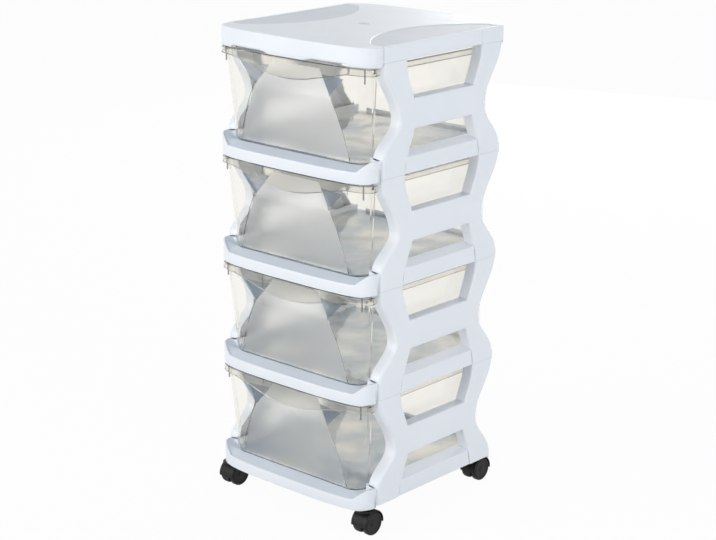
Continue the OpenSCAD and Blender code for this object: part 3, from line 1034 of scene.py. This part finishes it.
@dataclass(frozen=True)
class TopPanel:
    """The lid: skirt, corner pilasters, notched lower edges and a top with two shallow fields."""

    layout: Layout
    height: float = 0.025
    skirt_low: float = 0.001
    skirt_inset: float = 0.002
    step_y: tuple[float, float] = (-0.0006, 0.0002)
    notch_x: float = 0.052
    notch_w: float = 0.070
    notch_depth: float = 0.004
    edge_round: float = 0.0024
    field_depth: float = 0.0011
    field_inner_x: float = 0.072
    field_r: float = 0.186
    field_rim: float = 0.004
    arc_steps: int = 32
    mark_r: float = 0.0100
    mark_steps: int = 40
    wall: float = 0.0025

    def ring(self, shares: Sequence[float], inset: float, z: float,
             notched: bool = False) -> list[Vector]:
        """One closed ring of the lid.

        Args:
            shares: Places across the bowed edges.
            inset: How far the ring lies inside the outline.
            z: Its height above the seam.
            notched: Whether it follows the hanging edge with its notches.

        Returns:
            The ring's places, from the front left corner round to the left side.
        """
        lay = self.layout
        pairs = []
        for share in shares:
            height = z
            if notched:
                inside = self.notch_x < abs(share) * lay.seam_x < self.notch_x + self.notch_w
                height = -lay.lip_drop + (self.notch_depth if inside else 0)
            pairs.append(lay.edge_pair(share, inset, height, height))
        front, rear = zip(*pairs)
        proud, plain = lay.half_w - inset, lay.half_w - self.skirt_inset - inset
        inner, outer = (lay.window_half + y for y in self.step_y)
        half = [(plain, lay.window_half / 2), (plain, inner), (proud, outer), (proud, lay.seam_y)]
        side = [(x, -y) for x, y in reversed(half)] + [(plain, 0.0)] + half
        right = [Vector((x, y, z)) for x, y in side]
        left = [Vector((-x, -y, z)) for x, y in side]
        return [*front, *right, *reversed(rear), *left]

    def field(self, side: int, z: float, inset: float = 0.0) -> list[Vector]:
        """The outline of one shallow field, a circle's segment cut off by the lid's edge.

        Args:
            side: -1 for the left field, 1 for the right one.
            z: Height above the seam.
            inset: How far the outline is drawn in.

        Returns:
            The outline's places.
        """
        lay = self.layout
        reach_x = lay.half_w - self.skirt_inset - self.field_rim - inset
        reach_y = lay.seam_y - self.field_rim - inset
        radius = self.field_r - inset
        centre_x = self.field_inner_x + self.field_r
        top = math.asin(min(1.0, reach_y / radius))
        top = min(top, math.acos((centre_x - reach_x) / radius))
        turns = [top * (1 - 2 * i / self.arc_steps) for i in range(self.arc_steps + 1)]
        arc = [(centre_x - radius * math.cos(a), radius * math.sin(a)) for a in turns]
        points = arc + [(reach_x, -arc[0][1]), (reach_x, arc[0][1])]
        return [Vector((side * x, y, z)) for x, y in points]

    def mark(self, z: float) -> list[Vector]:
        """The outline of the round mark in the middle."""
        turns = [math.tau * i / self.mark_steps for i in range(self.mark_steps)]
        return [Vector((self.mark_r * math.cos(a), self.mark_r * math.sin(a), z)) for a in turns]

    def outlines(self, z: float, inset: float = 0.0) -> list[list[Vector]]:
        """The outlines of both fields and of the mark, at a height."""
        return [self.field(-1, z, inset), self.field(1, z, inset), self.mark(z)]

    def make(self) -> None:
        """Makes the lid as one shell."""
        mould = Mould()
        shares = bow_shares(self.layout.bow_power)
        top, r = self.height, self.edge_round
        ring = mould.ring(self.ring(shares, 0.0, 0.0, notched=True))
        rise = [(0.0, self.skirt_low), (0.0, top - r)]
        rise += [(share * r, top - down * r) for share, down in ((0.13, 0.5), (0.5, 0.13), (1, 0))]
        for inset, z in rise:
            ring = mould.grow(ring, self.ring(shares, inset, z))
        holes = [mould.ring(outline) for outline in self.outlines(top)]
        edges = [e for loop in [ring, *holes] for e in mould.edges_of(loop)]
        made = bmesh.ops.triangle_fill(mould.bm, use_beauty=True, use_dissolve=False, edges=edges,
                                       normal=UP)["geom"]
        for face in made:
            if isinstance(face, bmesh.types.BMFace):
                face.material_index = LidFinish.TOP
        # The floors of the fields and of the mark take the darker field finish, which is painted
        # shade.
        floors = self.outlines(top - self.field_depth, self.field_depth)
        for hole, floor in zip(holes, floors):
            mould.cap(mould.grow(hole, floor)).material_index = LidFinish.FIELD
        mould.move(UP * self.layout.lid_z)
        obj = mould.piece("lid_panel", [FRAME_WHITE, LID_TOP, LID_FIELD_PAINTED_SHADE], wall=self.wall)
        place(obj, "frame", Slot.FRAME, "top_panel")


# ---------- drawers ----------


class Zone(IntEnum):
    """Places of the finishes in a drawer's list."""

    CLEAR = 0
    FROST = 1
    RIM = 2
    FACET_PAINTED_SHADE = 3
    FLOOR_PAINTED_LIGHT = 4
    FOLD = 5


@dataclass(frozen=True)
class Drawer:
    """A translucent drawer: bowed front, arched apron, recess, frosted bell and clear corners."""

    layout: Layout
    floor_z: float = 0.0203
    foot_inset: float = 0.004
    foot_h: float = 0.008
    rim_z: float = 0.1725
    rim_h: float = 0.0115
    rim_ledge: float = 0.006
    rim_ease: float = 0.0006
    band_low: float = 0.003
    bead: float = 0.0016
    wall: float = 0.002
    crease: float = 24.0
    half_low: float = 0.1418
    half_high: float = 0.144
    front_low: float = 0.166
    facade_half: float = 0.158
    facade_front: float = 0.178
    corner_r: float = 0.026
    back: float = 0.1483
    rim_half_front: float = 0.164
    rim_half_side: float = 0.1484
    rim_front: float = 0.184
    rim_back: float = 0.151
    jog_gap: float = 0.001
    jog_r: float = 0.0045
    rim_jog_r: float = 0.002
    back_r: float = 0.010
    rim_back_r: float = 0.012
    grip_drop: float = 0.0395
    grip_half: float = 0.118
    grip_power: float = 1.4
    facet_z: float = 0.121
    facet_top: float = 0.153
    facet_edge: float = 0.0022
    recess: float = 0.013
    recess_below: float = 0.012
    recess_rate: float = 0.9
    bell_step: float = 0.0016
    bell_over: float = 0.002
    flat_share: float = 0.75
    share_gap: float = 0.01
    flat_high: float = 0.130
    fin_x: float = 0.1475
    fin_t: float = 0.0008
    fin_h: float = 0.024
    fin_gap: float = 0.0002
    fin_front: float = 0.1685
    fin_back: float = 0.1658
    bell_faces: int = 5
    fold_faces: range = range(16, 25)

    BELL = ((0.020, 0.1165), (0.060, 0.1045), (0.096, 0.091), (0.124, 0.077), (0.144, 0.061),
            (0.172, 0.042))
    LEVELS = (0.029, 0.040, 0.050, 0.060, 0.072, 0.084, 0.096, 0.106, 0.114, 0.121, 0.128, 0.136,
              0.144, 0.152, 0.160, 0.166)
    FOOT = ((0.0006, 0.0016), (0.0022, 0.0004), (0.0042, 0.0))
    BEND = (0.12, 0.25, 0.4, 0.55, 0.7, 0.85, 1)
    SIDE_YS = (-0.09, -0.03, 0.03, 0.09)
    QUARTER = tuple(math.pi / 8 * i for i in range(5))

    def bell_half(self, z: float) -> float:
        """Half the width of the frosted bell.

        Args:
            z: Height above the seam.

        Returns:
            The half width there.
        """
        for (z0, x0), (z1, x1) in zip(self.BELL, self.BELL[1:]):
            if z <= z1:
                return blend(x0, x1, max(0.0, (z - z0) / (z1 - z0)))
        return self.BELL[-1][1]

    def facet_half(self, z: float) -> float:
        """Half the width out to where the recess's side facets meet the front.

        Args:
            z: Height above the seam.

        Returns:
            The half width there.
        """
        plain = self.bell_half(z) + self.facet_edge
        if z <= self.facet_z:
            return plain
        share = (z - self.facet_z) / (self.rim_z - self.rim_h - self.facet_z)
        return max(plain, blend(self.bell_half(self.facet_z), self.grip_half, min(1.0, share)))

    def recess_depth(self, z: float) -> float:
        """How far the bell lies behind the front at a height."""
        share = (z - self.facet_z + self.recess_below) / (self.rim_z - self.facet_z)
        return self.bell_step + self.recess * smooth_step(share * self.recess_rate)

    def apron_z(self, x: float) -> float:
        """Height of the rim band's lower edge, which hangs down as an arch in the middle."""
        arch = max(0.0, 1 - (x / self.grip_half) ** 2) ** self.grip_power
        return blend(self.rim_z - self.rim_h, self.layout.tier_h - self.grip_drop, arch)

    def front_point(self, s: float, t: float, inset: float = 0.0) -> tuple[float, float]:
        """A point of the body's front half outline.

        Args:
            s: Share of the way from the middle, 0, to the front's end, 1.
            t: Share of the way up, from the floor, 0, to the rim, 1.
            inset: How far the outline is drawn in.

        Returns:
            The point as (x, distance in front of the middle).
        """
        lay = self.layout
        flat_low, r = self.half_low - self.corner_r, self.corner_r - inset
        if s <= self.flat_share:
            u = s / self.flat_share
            low_x, low_y = u * flat_low, self.front_low - inset
            high_x = u * self.flat_high
        else:
            u = (s - self.flat_share) / (1 - self.flat_share)
            angle = u * math.pi / 2
            low_x = flat_low + r * math.sin(angle)
            low_y = self.front_low - self.corner_r + r * math.cos(angle)
            start = math.asin((self.flat_high / self.facade_half) ** (lay.bow_power / 2))
            turn = blend(start, math.pi / 2, u)
            high_x = self.facade_half * math.sin(turn) ** (2 / lay.bow_power)
        reach = lay.bow_y(high_x / self.facade_half, self.facade_front - lay.seam_y)
        high_y = lay.seam_y + max(self.jog_gap, reach)
        return blend(low_x, high_x, t), blend(low_y, high_y, t)

    def front_share(self, x: float, t: float) -> float:
        """The share along the front at which the outline passes x, in its nearly flat stretch."""
        return self.flat_share * x / blend(self.half_low - self.corner_r, self.flat_high, t)

    def columns(self, z: float) -> tuple[list[float], float]:
        """Where the columns of faces cross a height of the front.

        Args:
            z: Height above the seam.

        Returns:
            The shares along the right half of the front, and the share of the way up.
        """
        t = min(1.0, max(0.0, (z - self.floor_z) / (self.rim_z - self.floor_z)))
        faces = self.bell_faces
        bell = [self.front_share(self.bell_half(z) * i / faces, t) for i in range(faces + 1)]
        edge = self.front_share(self.facet_half(z), t)
        mid = max(edge + self.share_gap, self.flat_share)
        bend = [blend(mid, 1, share) for share in self.BEND]
        return [*bell, edge, blend(edge, mid, 0.5), mid, *bend], t

    def body_ring(self, z: float, inset: float = 0.0) -> list[Vector]:
        """The body's outline at a height.

        Args:
            z: Height above the seam.
            inset: How far the outline is drawn in.

        Returns:
            The places, from the front's middle counter-clockwise seen from above.
        """
        shares, t = self.columns(z)
        depth = self.recess_depth(z) if z > self.floor_z + self.foot_h else 0.0
        front = []
        for i, share in enumerate(shares):
            x, y = self.front_point(share, t, inset)
            front.append(Vector((x, depth - y if i <= self.bell_faces else -y, z)))
        end = front.pop()
        half = blend(self.half_low, self.half_high, t) - inset
        start = blend(self.corner_r - self.front_low + self.jog_gap,
                      -self.layout.seam_y - self.jog_gap, t)
        side = self.jog(end.x, end.y, half, start, self.jog_r * t)
        return self.close(front, side, (half, self.back - inset), self.back_r, z)

    def close(self, front: list[Vector], side: list[tuple[float, float]],
              corner: tuple[float, float], r: float, z: float) -> list[Vector]:
        """Carries half an outline on to the middle of its rear, and mirrors it.

        Args:
            front: The front's places, from its middle.
            side: The jog's places as (x, y).
            corner: Where the side and the rear would meet, as (x, y).
            r: Radius of that corner.
            z: Height of side and rear.

        Returns:
            The whole outline.
        """
        half, back = corner
        side = side + [(half, y) for y in self.SIDE_YS]
        side += [(half - r + r * math.cos(a), back - r + r * math.sin(a)) for a in self.QUARTER]
        half_ring = front + [Vector((x, y, z)) for x, y in side] + [Vector((half / 2, back, z))]
        mirrored = [Vector((-p.x, p.y, p.z)) for p in reversed(half_ring[1:])]
        return half_ring + [Vector((0, back, z))] + mirrored

    def jog(self, end_x: float, end_y: float, half: float, start: float,
            r: float) -> list[tuple[float, float]]:
        """The rounded jog from the front's end in to the side between the posts.

        Args:
            end_x: Where the front ends, across.
            end_y: Where the front ends, front to rear.
            half: Half the width between the posts.
            start: Where that side begins, front to rear.
            r: Radius of both turns.

        Returns:
            The jog's places as (x, y).
        """
        r = min(r, (end_x - half) / 2)
        outer = [(end_x - r + r * math.cos(a), end_y - r + r * math.sin(a)) for a in self.QUARTER]
        inner = [(half + r - r * math.sin(a), start + r - r * math.cos(a)) for a in self.QUARTER]
        return outer + inner

    def rim_ring(self, z: float, inset: float, apron: bool = False,
                 bead: float = 0.0) -> list[Vector]:
        """The rim's outline, with as many places as the body's.

        Args:
            z: Height of the ring, away from the apron.
            inset: How far it is drawn in from the rim's edge.
            apron: Whether it follows the apron's arch.
            bead: Height above that edge.

        Returns:
            The places.
        """
        lay = self.layout
        shares, _ = self.columns(self.rim_z)
        half = self.rim_half_front - inset
        start = lay.seam_y + self.jog_gap + inset
        depth = self.rim_front - inset - start
        front = []
        for share in shares:
            x = self.front_point(share, 1.0)[0] * half / self.facade_half
            height = min(z, self.apron_z(x)) + bead if apron else z
            front.append(Vector((x, -start - lay.bow_y(x / half, depth), height)))
        end = front.pop()
        side_x = self.rim_half_side - inset
        side = self.jog(end.x, end.y, side_x, -start, self.rim_jog_r)
        return self.close(front, side, (side_x, self.rim_back - inset), self.rim_back_r, z)

    def shape(self) -> Mould:
        """Models a drawer standing in its tier.

        Returns:
            The shape, as one open shell.
        """
        mould = Mould()
        ring = mould.ring(self.body_ring(self.floor_z, self.foot_inset))
        # The floor takes the blotched finish of painted reflections and painted shade.
        mould.cap(ring).material_index = Zone.FLOOR_PAINTED_LIGHT
        last = len(ring) - 1

        def paint(z: float, plain: Zone) -> Callable[[int], Zone]:
            """The finishes of the faces below a ring, the same to either side of the middle."""
            return lambda i: self.finish_at(min(i, last - i), z, plain)

        for rise, inset in self.FOOT:
            ring = mould.grow(ring, self.body_ring(self.floor_z + rise, inset))
        for z in (*self.LEVELS, self.rim_z - self.bead):
            ring = mould.grow(ring, self.body_ring(z), paint(z, Zone.CLEAR))
        top, low = self.rim_z - self.wall, self.rim_z - self.rim_h
        wall, ease = self.wall, self.rim_ease
        for places in (self.rim_ring(top, self.rim_ledge), self.rim_ring(top, wall + ease),
                       self.rim_ring(top - ease, wall), self.rim_ring(low + self.band_low, wall),
                       self.rim_ring(low, wall, apron=True, bead=self.bead),
                       self.rim_ring(low, wall - ease, apron=True, bead=self.bead / 2),
                       self.rim_ring(low, wall - ease, apron=True)):
            ring = mould.grow(ring, places, paint(0, Zone.RIM))
        return mould

    def finish_at(self, face: int, z: float, plain: Zone) -> Zone:
        """The finish of a face, counted from the front's middle to either side.

        Args:
            face: Place of the face in the half ring.
            z: Height of its upper edge above the seam, or 0 in the rim.
            plain: The finish away from the bell, its facets and the folds.

        Returns:
            The finish's place in the drawer's list.
        """
        if face in self.fold_faces:
            return Zone.FOLD
        if 0 < z <= self.rim_z - self.rim_h + self.bell_over:
            if face < self.bell_faces:
                return Zone.FROST
            # The side facets of the recess take the dark finish, painted shade.
            if face == self.bell_faces and self.facet_z < z < self.facet_top:
                return Zone.FACET_PAINTED_SHADE
        return plain

    def fins(self) -> Mould:
        """Models the thin fins that tie the rim to the drawer's front corners; their dark tint is
        painted shade.

        Returns:
            The shape of both.
        """
        mould = Mould()
        half_t = self.fin_t / 2
        for side in (-1, 1):
            x = side * self.fin_x
            mould.block((x - half_t, -self.fin_front, self.rim_z - self.fin_h),
                        (x + half_t, -self.fin_back, self.rim_z - self.wall - self.fin_gap))
        return mould

    def make(self) -> None:
        """Makes the four drawers."""
        finishes = [CLEAR, FROST, RIM, FACET_PAINTED_SHADE, FLOOR_PAINTED_LIGHT, FOLD]
        for tier in range(1, self.layout.tiers + 1):
            name, lift = f"drawer_{tier}", UP * self.layout.seam_z(tier)
            fins = self.fins()
            fins.move(lift)
            place(fins.piece(f"{name}_fins", [FIN_PAINTED_SHADE]), f"{name}_body", Slot.DRAWER, name)
            tub = self.shape()
            tub.move(lift)
            obj = tub.piece(f"{name}_tub", finishes, wall=self.wall, sharp=self.crease)
            place(obj, f"{name}_body", Slot.DRAWER, name)


# ---------- casters ----------


@dataclass(frozen=True)
class Caster:
    """A twin-wheel caster: steel stem and axle, black hood with its swivel cap, and two wheels."""

    name: str
    wheel_r: float = 0.020
    wheel_w: float = 0.010
    trail: float = 0.008
    web_t: float = 0.010
    side_gap: float = 0.0005
    bore_r: float = 0.0026
    bore_l: float = 0.008
    tread_gap: float = 0.001
    hood_wall: float = 0.002
    hood_round: float = 0.0014
    hood_ease: float = 0.0004
    overlap: float = 0.002
    web_share: float = 0.97
    web_drop: float = 0.010
    web_steps: int = 24
    boss_z: float = 0.020
    boss_r: float = 0.0048
    cap_r: float = 0.015
    cap_z: float = 0.0435
    collar_z: tuple[float, float] = (0.044, 0.050)
    collar_r: float = 0.0075
    shank_r: float = 0.0035
    rivet_l: float = 0.0015
    rivet_r: float = 0.0043
    axle_r: float = 0.0025
    ease: float = 0.0005

    NAMES = ("front_left", "front_right", "rear_left", "rear_right")

    @property
    def swivel(self) -> Vector:
        """The place on the floor under the swivel axis."""
        low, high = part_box(f"{self.name}_stem")
        return Vector(((low.x + high.x) / 2, (low.y + high.y) / 2, 0))

    @property
    def axle(self) -> Vector:
        """The middle of the axle."""
        return self.swivel + Vector((0, self.trail, self.wheel_r))

    def wheel(self, which: str) -> None:
        """Makes one wheel with its tread, dished face, hub and blind bore.

        Args:
            which: Its name on the caster, inner or outer.
        """
        node = f"{self.name}_{which}_wheel"
        low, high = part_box(node)
        out = 1 if (low.x + high.x) / 2 > self.axle.x else -1
        inner = self.web_t / 2 + self.side_gap
        outer, bore_end, r = inner + self.wheel_w, inner + self.bore_l, self.wheel_r
        profile = [(inner, self.bore_r), (inner, r - 0.0016), (inner + 0.0005, r - 0.0004),
                   (inner + 0.0016, r), (outer - 0.0030, r), (outer - 0.0014, r - 0.0005),
                   (outer - 0.0004, r - 0.0018), (outer, r - 0.0034), (outer - 0.0002, r - 0.0046),
                   (outer - 0.0010, r - 0.0054), (outer - 0.0012, 0.0066),
                   (outer - 0.0008, 0.0058), (outer - 0.0001, 0.0050), (outer, 0.0),
                   (bore_end, 0.0), (bore_end, self.bore_r)]
        mould = Mould()
        mould.turn(profile, self.axle, ACROSS * out, steps=56)
        obj = mould.piece(f"{self.name}_{which}_tread", [CASTER_BLACK])
        place(obj, f"{node}_body", Slot.CASTER, node)

    def hood(self) -> None:
        """Makes the hood: half barrel over the wheels, web between them, boss and swivel cap."""
        mould = Mould()
        half = self.web_t / 2 + self.side_gap + self.wheel_w
        r_in = self.wheel_r + self.tread_gap
        r_out = r_in + self.hood_wall
        drop = math.asin(self.overlap / r_out)
        r, ease = self.hood_round, self.hood_ease
        end = [(half - r, r_out), (half - ease, r_out - ease), (half, r_out - r), (half, r_in)]
        section = [(-a, b) for a, b in reversed(end)] + end
        mould.turn(section, self.axle, ACROSS, steps=40, angle=math.pi + 2 * drop,
                   start=-math.pi / 2 - drop)
        web_r, low = r_out * self.web_share, -self.web_drop
        span = math.sqrt(web_r ** 2 - low ** 2)
        turns = [math.pi * i / self.web_steps for i in range(self.web_steps + 1)]
        web = [(web_r * math.cos(a), web_r * math.sin(a)) for a in turns]
        web += [(-span, low), (span, low)]
        near = self.axle - ACROSS * self.web_t / 2
        mould.prism([near + Vector((0, y, z)) for y, z in web], ACROSS * self.web_t)
        cap_low, top, cap_r = self.wheel_r + r_in, self.cap_z, self.cap_r
        mould.turn([(self.boss_z, 0.0), (self.boss_z, self.boss_r), (cap_low, self.boss_r),
                    (cap_low, cap_r - 0.0006), (cap_low + 0.0005, cap_r), (top - 0.0007, cap_r),
                    (top, cap_r - 0.0007), (top, 0.0)], self.swivel, UP, steps=48)
        obj = mould.piece(f"{self.name}_barrel", [CASTER_BLACK])
        place(obj, f"{self.name}_swivel", Slot.CASTER, f"{self.name}_hood")

    def metal(self) -> None:
        """Makes the stem with its collar and riveted end, and the axle."""
        low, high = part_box(f"{self.name}_stem")
        foot, tip, r, ease = low.z, high.z, self.shank_r, self.ease
        (collar_low, collar_top), collar_r = self.collar_z, self.collar_r
        rivet_top, rivet_r = foot + self.rivet_l, self.rivet_r
        pin = Mould()
        pin.turn([(foot, 0.0), (foot, rivet_r - 0.0007), (foot + 0.0006, rivet_r),
                  (rivet_top, rivet_r), (rivet_top, r), (collar_low, r),
                  (collar_low, collar_r - ease), (collar_low + ease, collar_r),
                  (collar_top, collar_r), (collar_top, r), (tip - 2 * ease, r), (tip, r - 0.0009),
                  (tip, 0.0)], self.swivel, UP, steps=40)
        place(pin.piece(f"{self.name}_pin", [STEEL]), "frame", Slot.STEEL, f"{self.name}_stem")
        low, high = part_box(f"{self.name}_axle")
        half, r = (high.x - low.x) / 2, self.axle_r
        spindle = Mould()
        spindle.turn([(-half, 0.0), (-half, r - ease), (ease - half, r), (half - ease, r),
                      (half, r - ease), (half, 0.0)], self.axle, ACROSS, steps=32)
        place(spindle.piece(f"{self.name}_spindle", [STEEL]), f"{self.name}_swivel", Slot.STEEL,
              f"{self.name}_axle")

    def make(self) -> None:
        """Makes the whole caster."""
        self.metal()
        self.hood()
        for which in ("inner", "outer"):
            self.wheel(which)


# ---------- studio ----------


@dataclass(frozen=True)
class Studio:
    """Camera, lights, world and floor."""

    camera_at: tuple[float, float, float] = (1.9629, -2.2511, 1.2718)
    azimuth: float = 41.207
    elevation: float = 16.612
    roll: float = 0.657
    lens: float = 93.59
    sensor: float = 36.0
    floor_size: float = 40.0
    floor_grey: float = 0.66
    floor_white: float = 0.96
    horizon_light: float = 0.78
    zenith_light: float = 0.62
    sky_tint: tuple[float, float, float] = (0.90, 0.955, 1.0)
    lamp_tint: tuple[float, float, float] = (1.0, 0.98, 0.945)
    lamp_size: float = 2.0
    aim_z: float = 0.4
    bounces: int = 16
    clear_bounces: int = 24

    SEEN = ("Is Camera Ray", "Is Glossy Ray", "Is Transmission Ray")
    LAMPS = (("key_lamp", (-1.4, -3.2, 1.3), 57), ("side_lamp", (3.3, -0.8, 1.1), 37),
             ("rear_lamp", (-1.2, 3.2, 1.0), 52))

    def camera(self) -> None:
        """Makes the camera at the photo's viewing angle."""
        a, e, r = (math.radians(v) for v in (self.azimuth, self.elevation, self.roll))
        back = Vector((math.sin(a) * math.cos(e), -math.cos(a) * math.cos(e), math.sin(e)))
        right = UP.cross(back).normalized()
        up = back.cross(right)
        turned_right = right * math.cos(r) + up * math.sin(r)
        turned_up = up * math.cos(r) - right * math.sin(r)
        data = bpy.data.cameras.new("photo_camera")
        data.sensor_fit = "HORIZONTAL"
        data.sensor_width = self.sensor
        data.lens = self.lens
        cam = bpy.data.objects.new("photo_camera", data)
        turn = Matrix((turned_right, turned_up, back)).transposed().to_4x4()
        cam.matrix_world = Matrix.Translation(self.camera_at) @ turn
        bpy.context.scene.collection.objects.link(cam)
        bpy.context.scene.camera = cam

    def lamp(self, name: str, at: Sequence[float], power: float) -> None:
        """Makes one square area lamp that faces the tower's middle.

        Args:
            name: The lamp's name.
            at: Where it hangs.
            power: Its power in watts.
        """
        data = bpy.data.lights.new(name, "AREA")
        data.shape = "SQUARE"
        data.size = self.lamp_size
        data.energy = power
        data.color = self.lamp_tint
        obj = bpy.data.objects.new(name, data)
        obj.visible_camera = False
        obj.visible_transmission = False
        way = (UP * self.aim_z - Vector(at)).to_track_quat("-Z", "Y")
        obj.matrix_world = Matrix.Translation(at) @ way.to_matrix().to_4x4()
        bpy.context.scene.collection.objects.link(obj)

    def world(self) -> None:
        """Makes a soft pale world that is seen as plain white."""
        world = bpy.data.worlds.new("studio")
        bpy.context.scene.world = world
        nt = cleared(world)
        seen = nt.add("ShaderNodeBackground")
        seen.inputs["Color"].default_value = (1, 1, 1, 1)
        light = nt.add("ShaderNodeBackground")
        light.inputs["Color"].default_value = (*self.sky_tint, 1)
        way = nt.add("ShaderNodeTexCoord")
        split = nt.add("ShaderNodeSeparateXYZ")
        nt.link(way.outputs["Generated"], split.inputs["Vector"])
        nt.link(nt.ramp(split.outputs["Z"], 0, 1, self.horizon_light, self.zenith_light),
                light.inputs["Strength"])
        nt.mix_shaders(nt.rays(*self.SEEN), light, seen,
                       nt.add("ShaderNodeOutputWorld").inputs["Surface"])

    def floor(self) -> None:
        """Makes the plain pale floor, which keeps the tower's shadow."""
        bm = bmesh.new()
        bmesh.ops.create_grid(bm, x_segments=1, y_segments=1, size=self.floor_size / 2)
        mesh = bpy.data.meshes.new("studio_floor")
        bm.to_mesh(mesh)
        bm.free()
        obj = bpy.data.objects.new("studio_floor", mesh)
        bpy.context.scene.collection.objects.link(obj)
        made = bpy.data.materials.new("studio_floor")
        nt = cleared(made)
        matte = nt.add("ShaderNodeBsdfDiffuse")
        matte.inputs["Color"].default_value = (*(self.floor_grey,) * 3, 1)
        white = nt.add("ShaderNodeEmission")
        white.inputs["Strength"].default_value = 1.0
        share = nt.add("ShaderNodeMath", operation="MULTIPLY")
        share.inputs[1].default_value = self.floor_white
        nt.link(nt.rays(*self.SEEN), share.inputs[0])
        nt.mix_shaders(share.outputs[0], matte, white,
                       nt.add("ShaderNodeOutputMaterial").inputs["Surface"])
        mesh.materials.append(made)

    def make(self) -> None:
        """Makes the whole studio."""
        self.camera()
        self.world()
        self.floor()
        for name, at, power in self.LAMPS:
            self.lamp(name, at, power)
        bpy.context.scene.view_settings.view_transform = "Standard"
        bpy.context.scene.cycles.transparent_max_bounces = self.clear_bounces
        bpy.context.scene.cycles.max_bounces = self.bounces


def main() -> None:
    """Builds the studio and the tower, and reports each piece."""
    logging.basicConfig(level=logging.INFO, format="%(message)s")
    Studio().make()
    layout = Layout.from_frame()
    TopPanel(layout).make()
    Shelf(layout).make()
    SideFrame(layout).make()
    Drawer(layout).make()
    for name in Caster.NAMES:
        Caster(name).make()


if __name__ == "__main__":
    main()
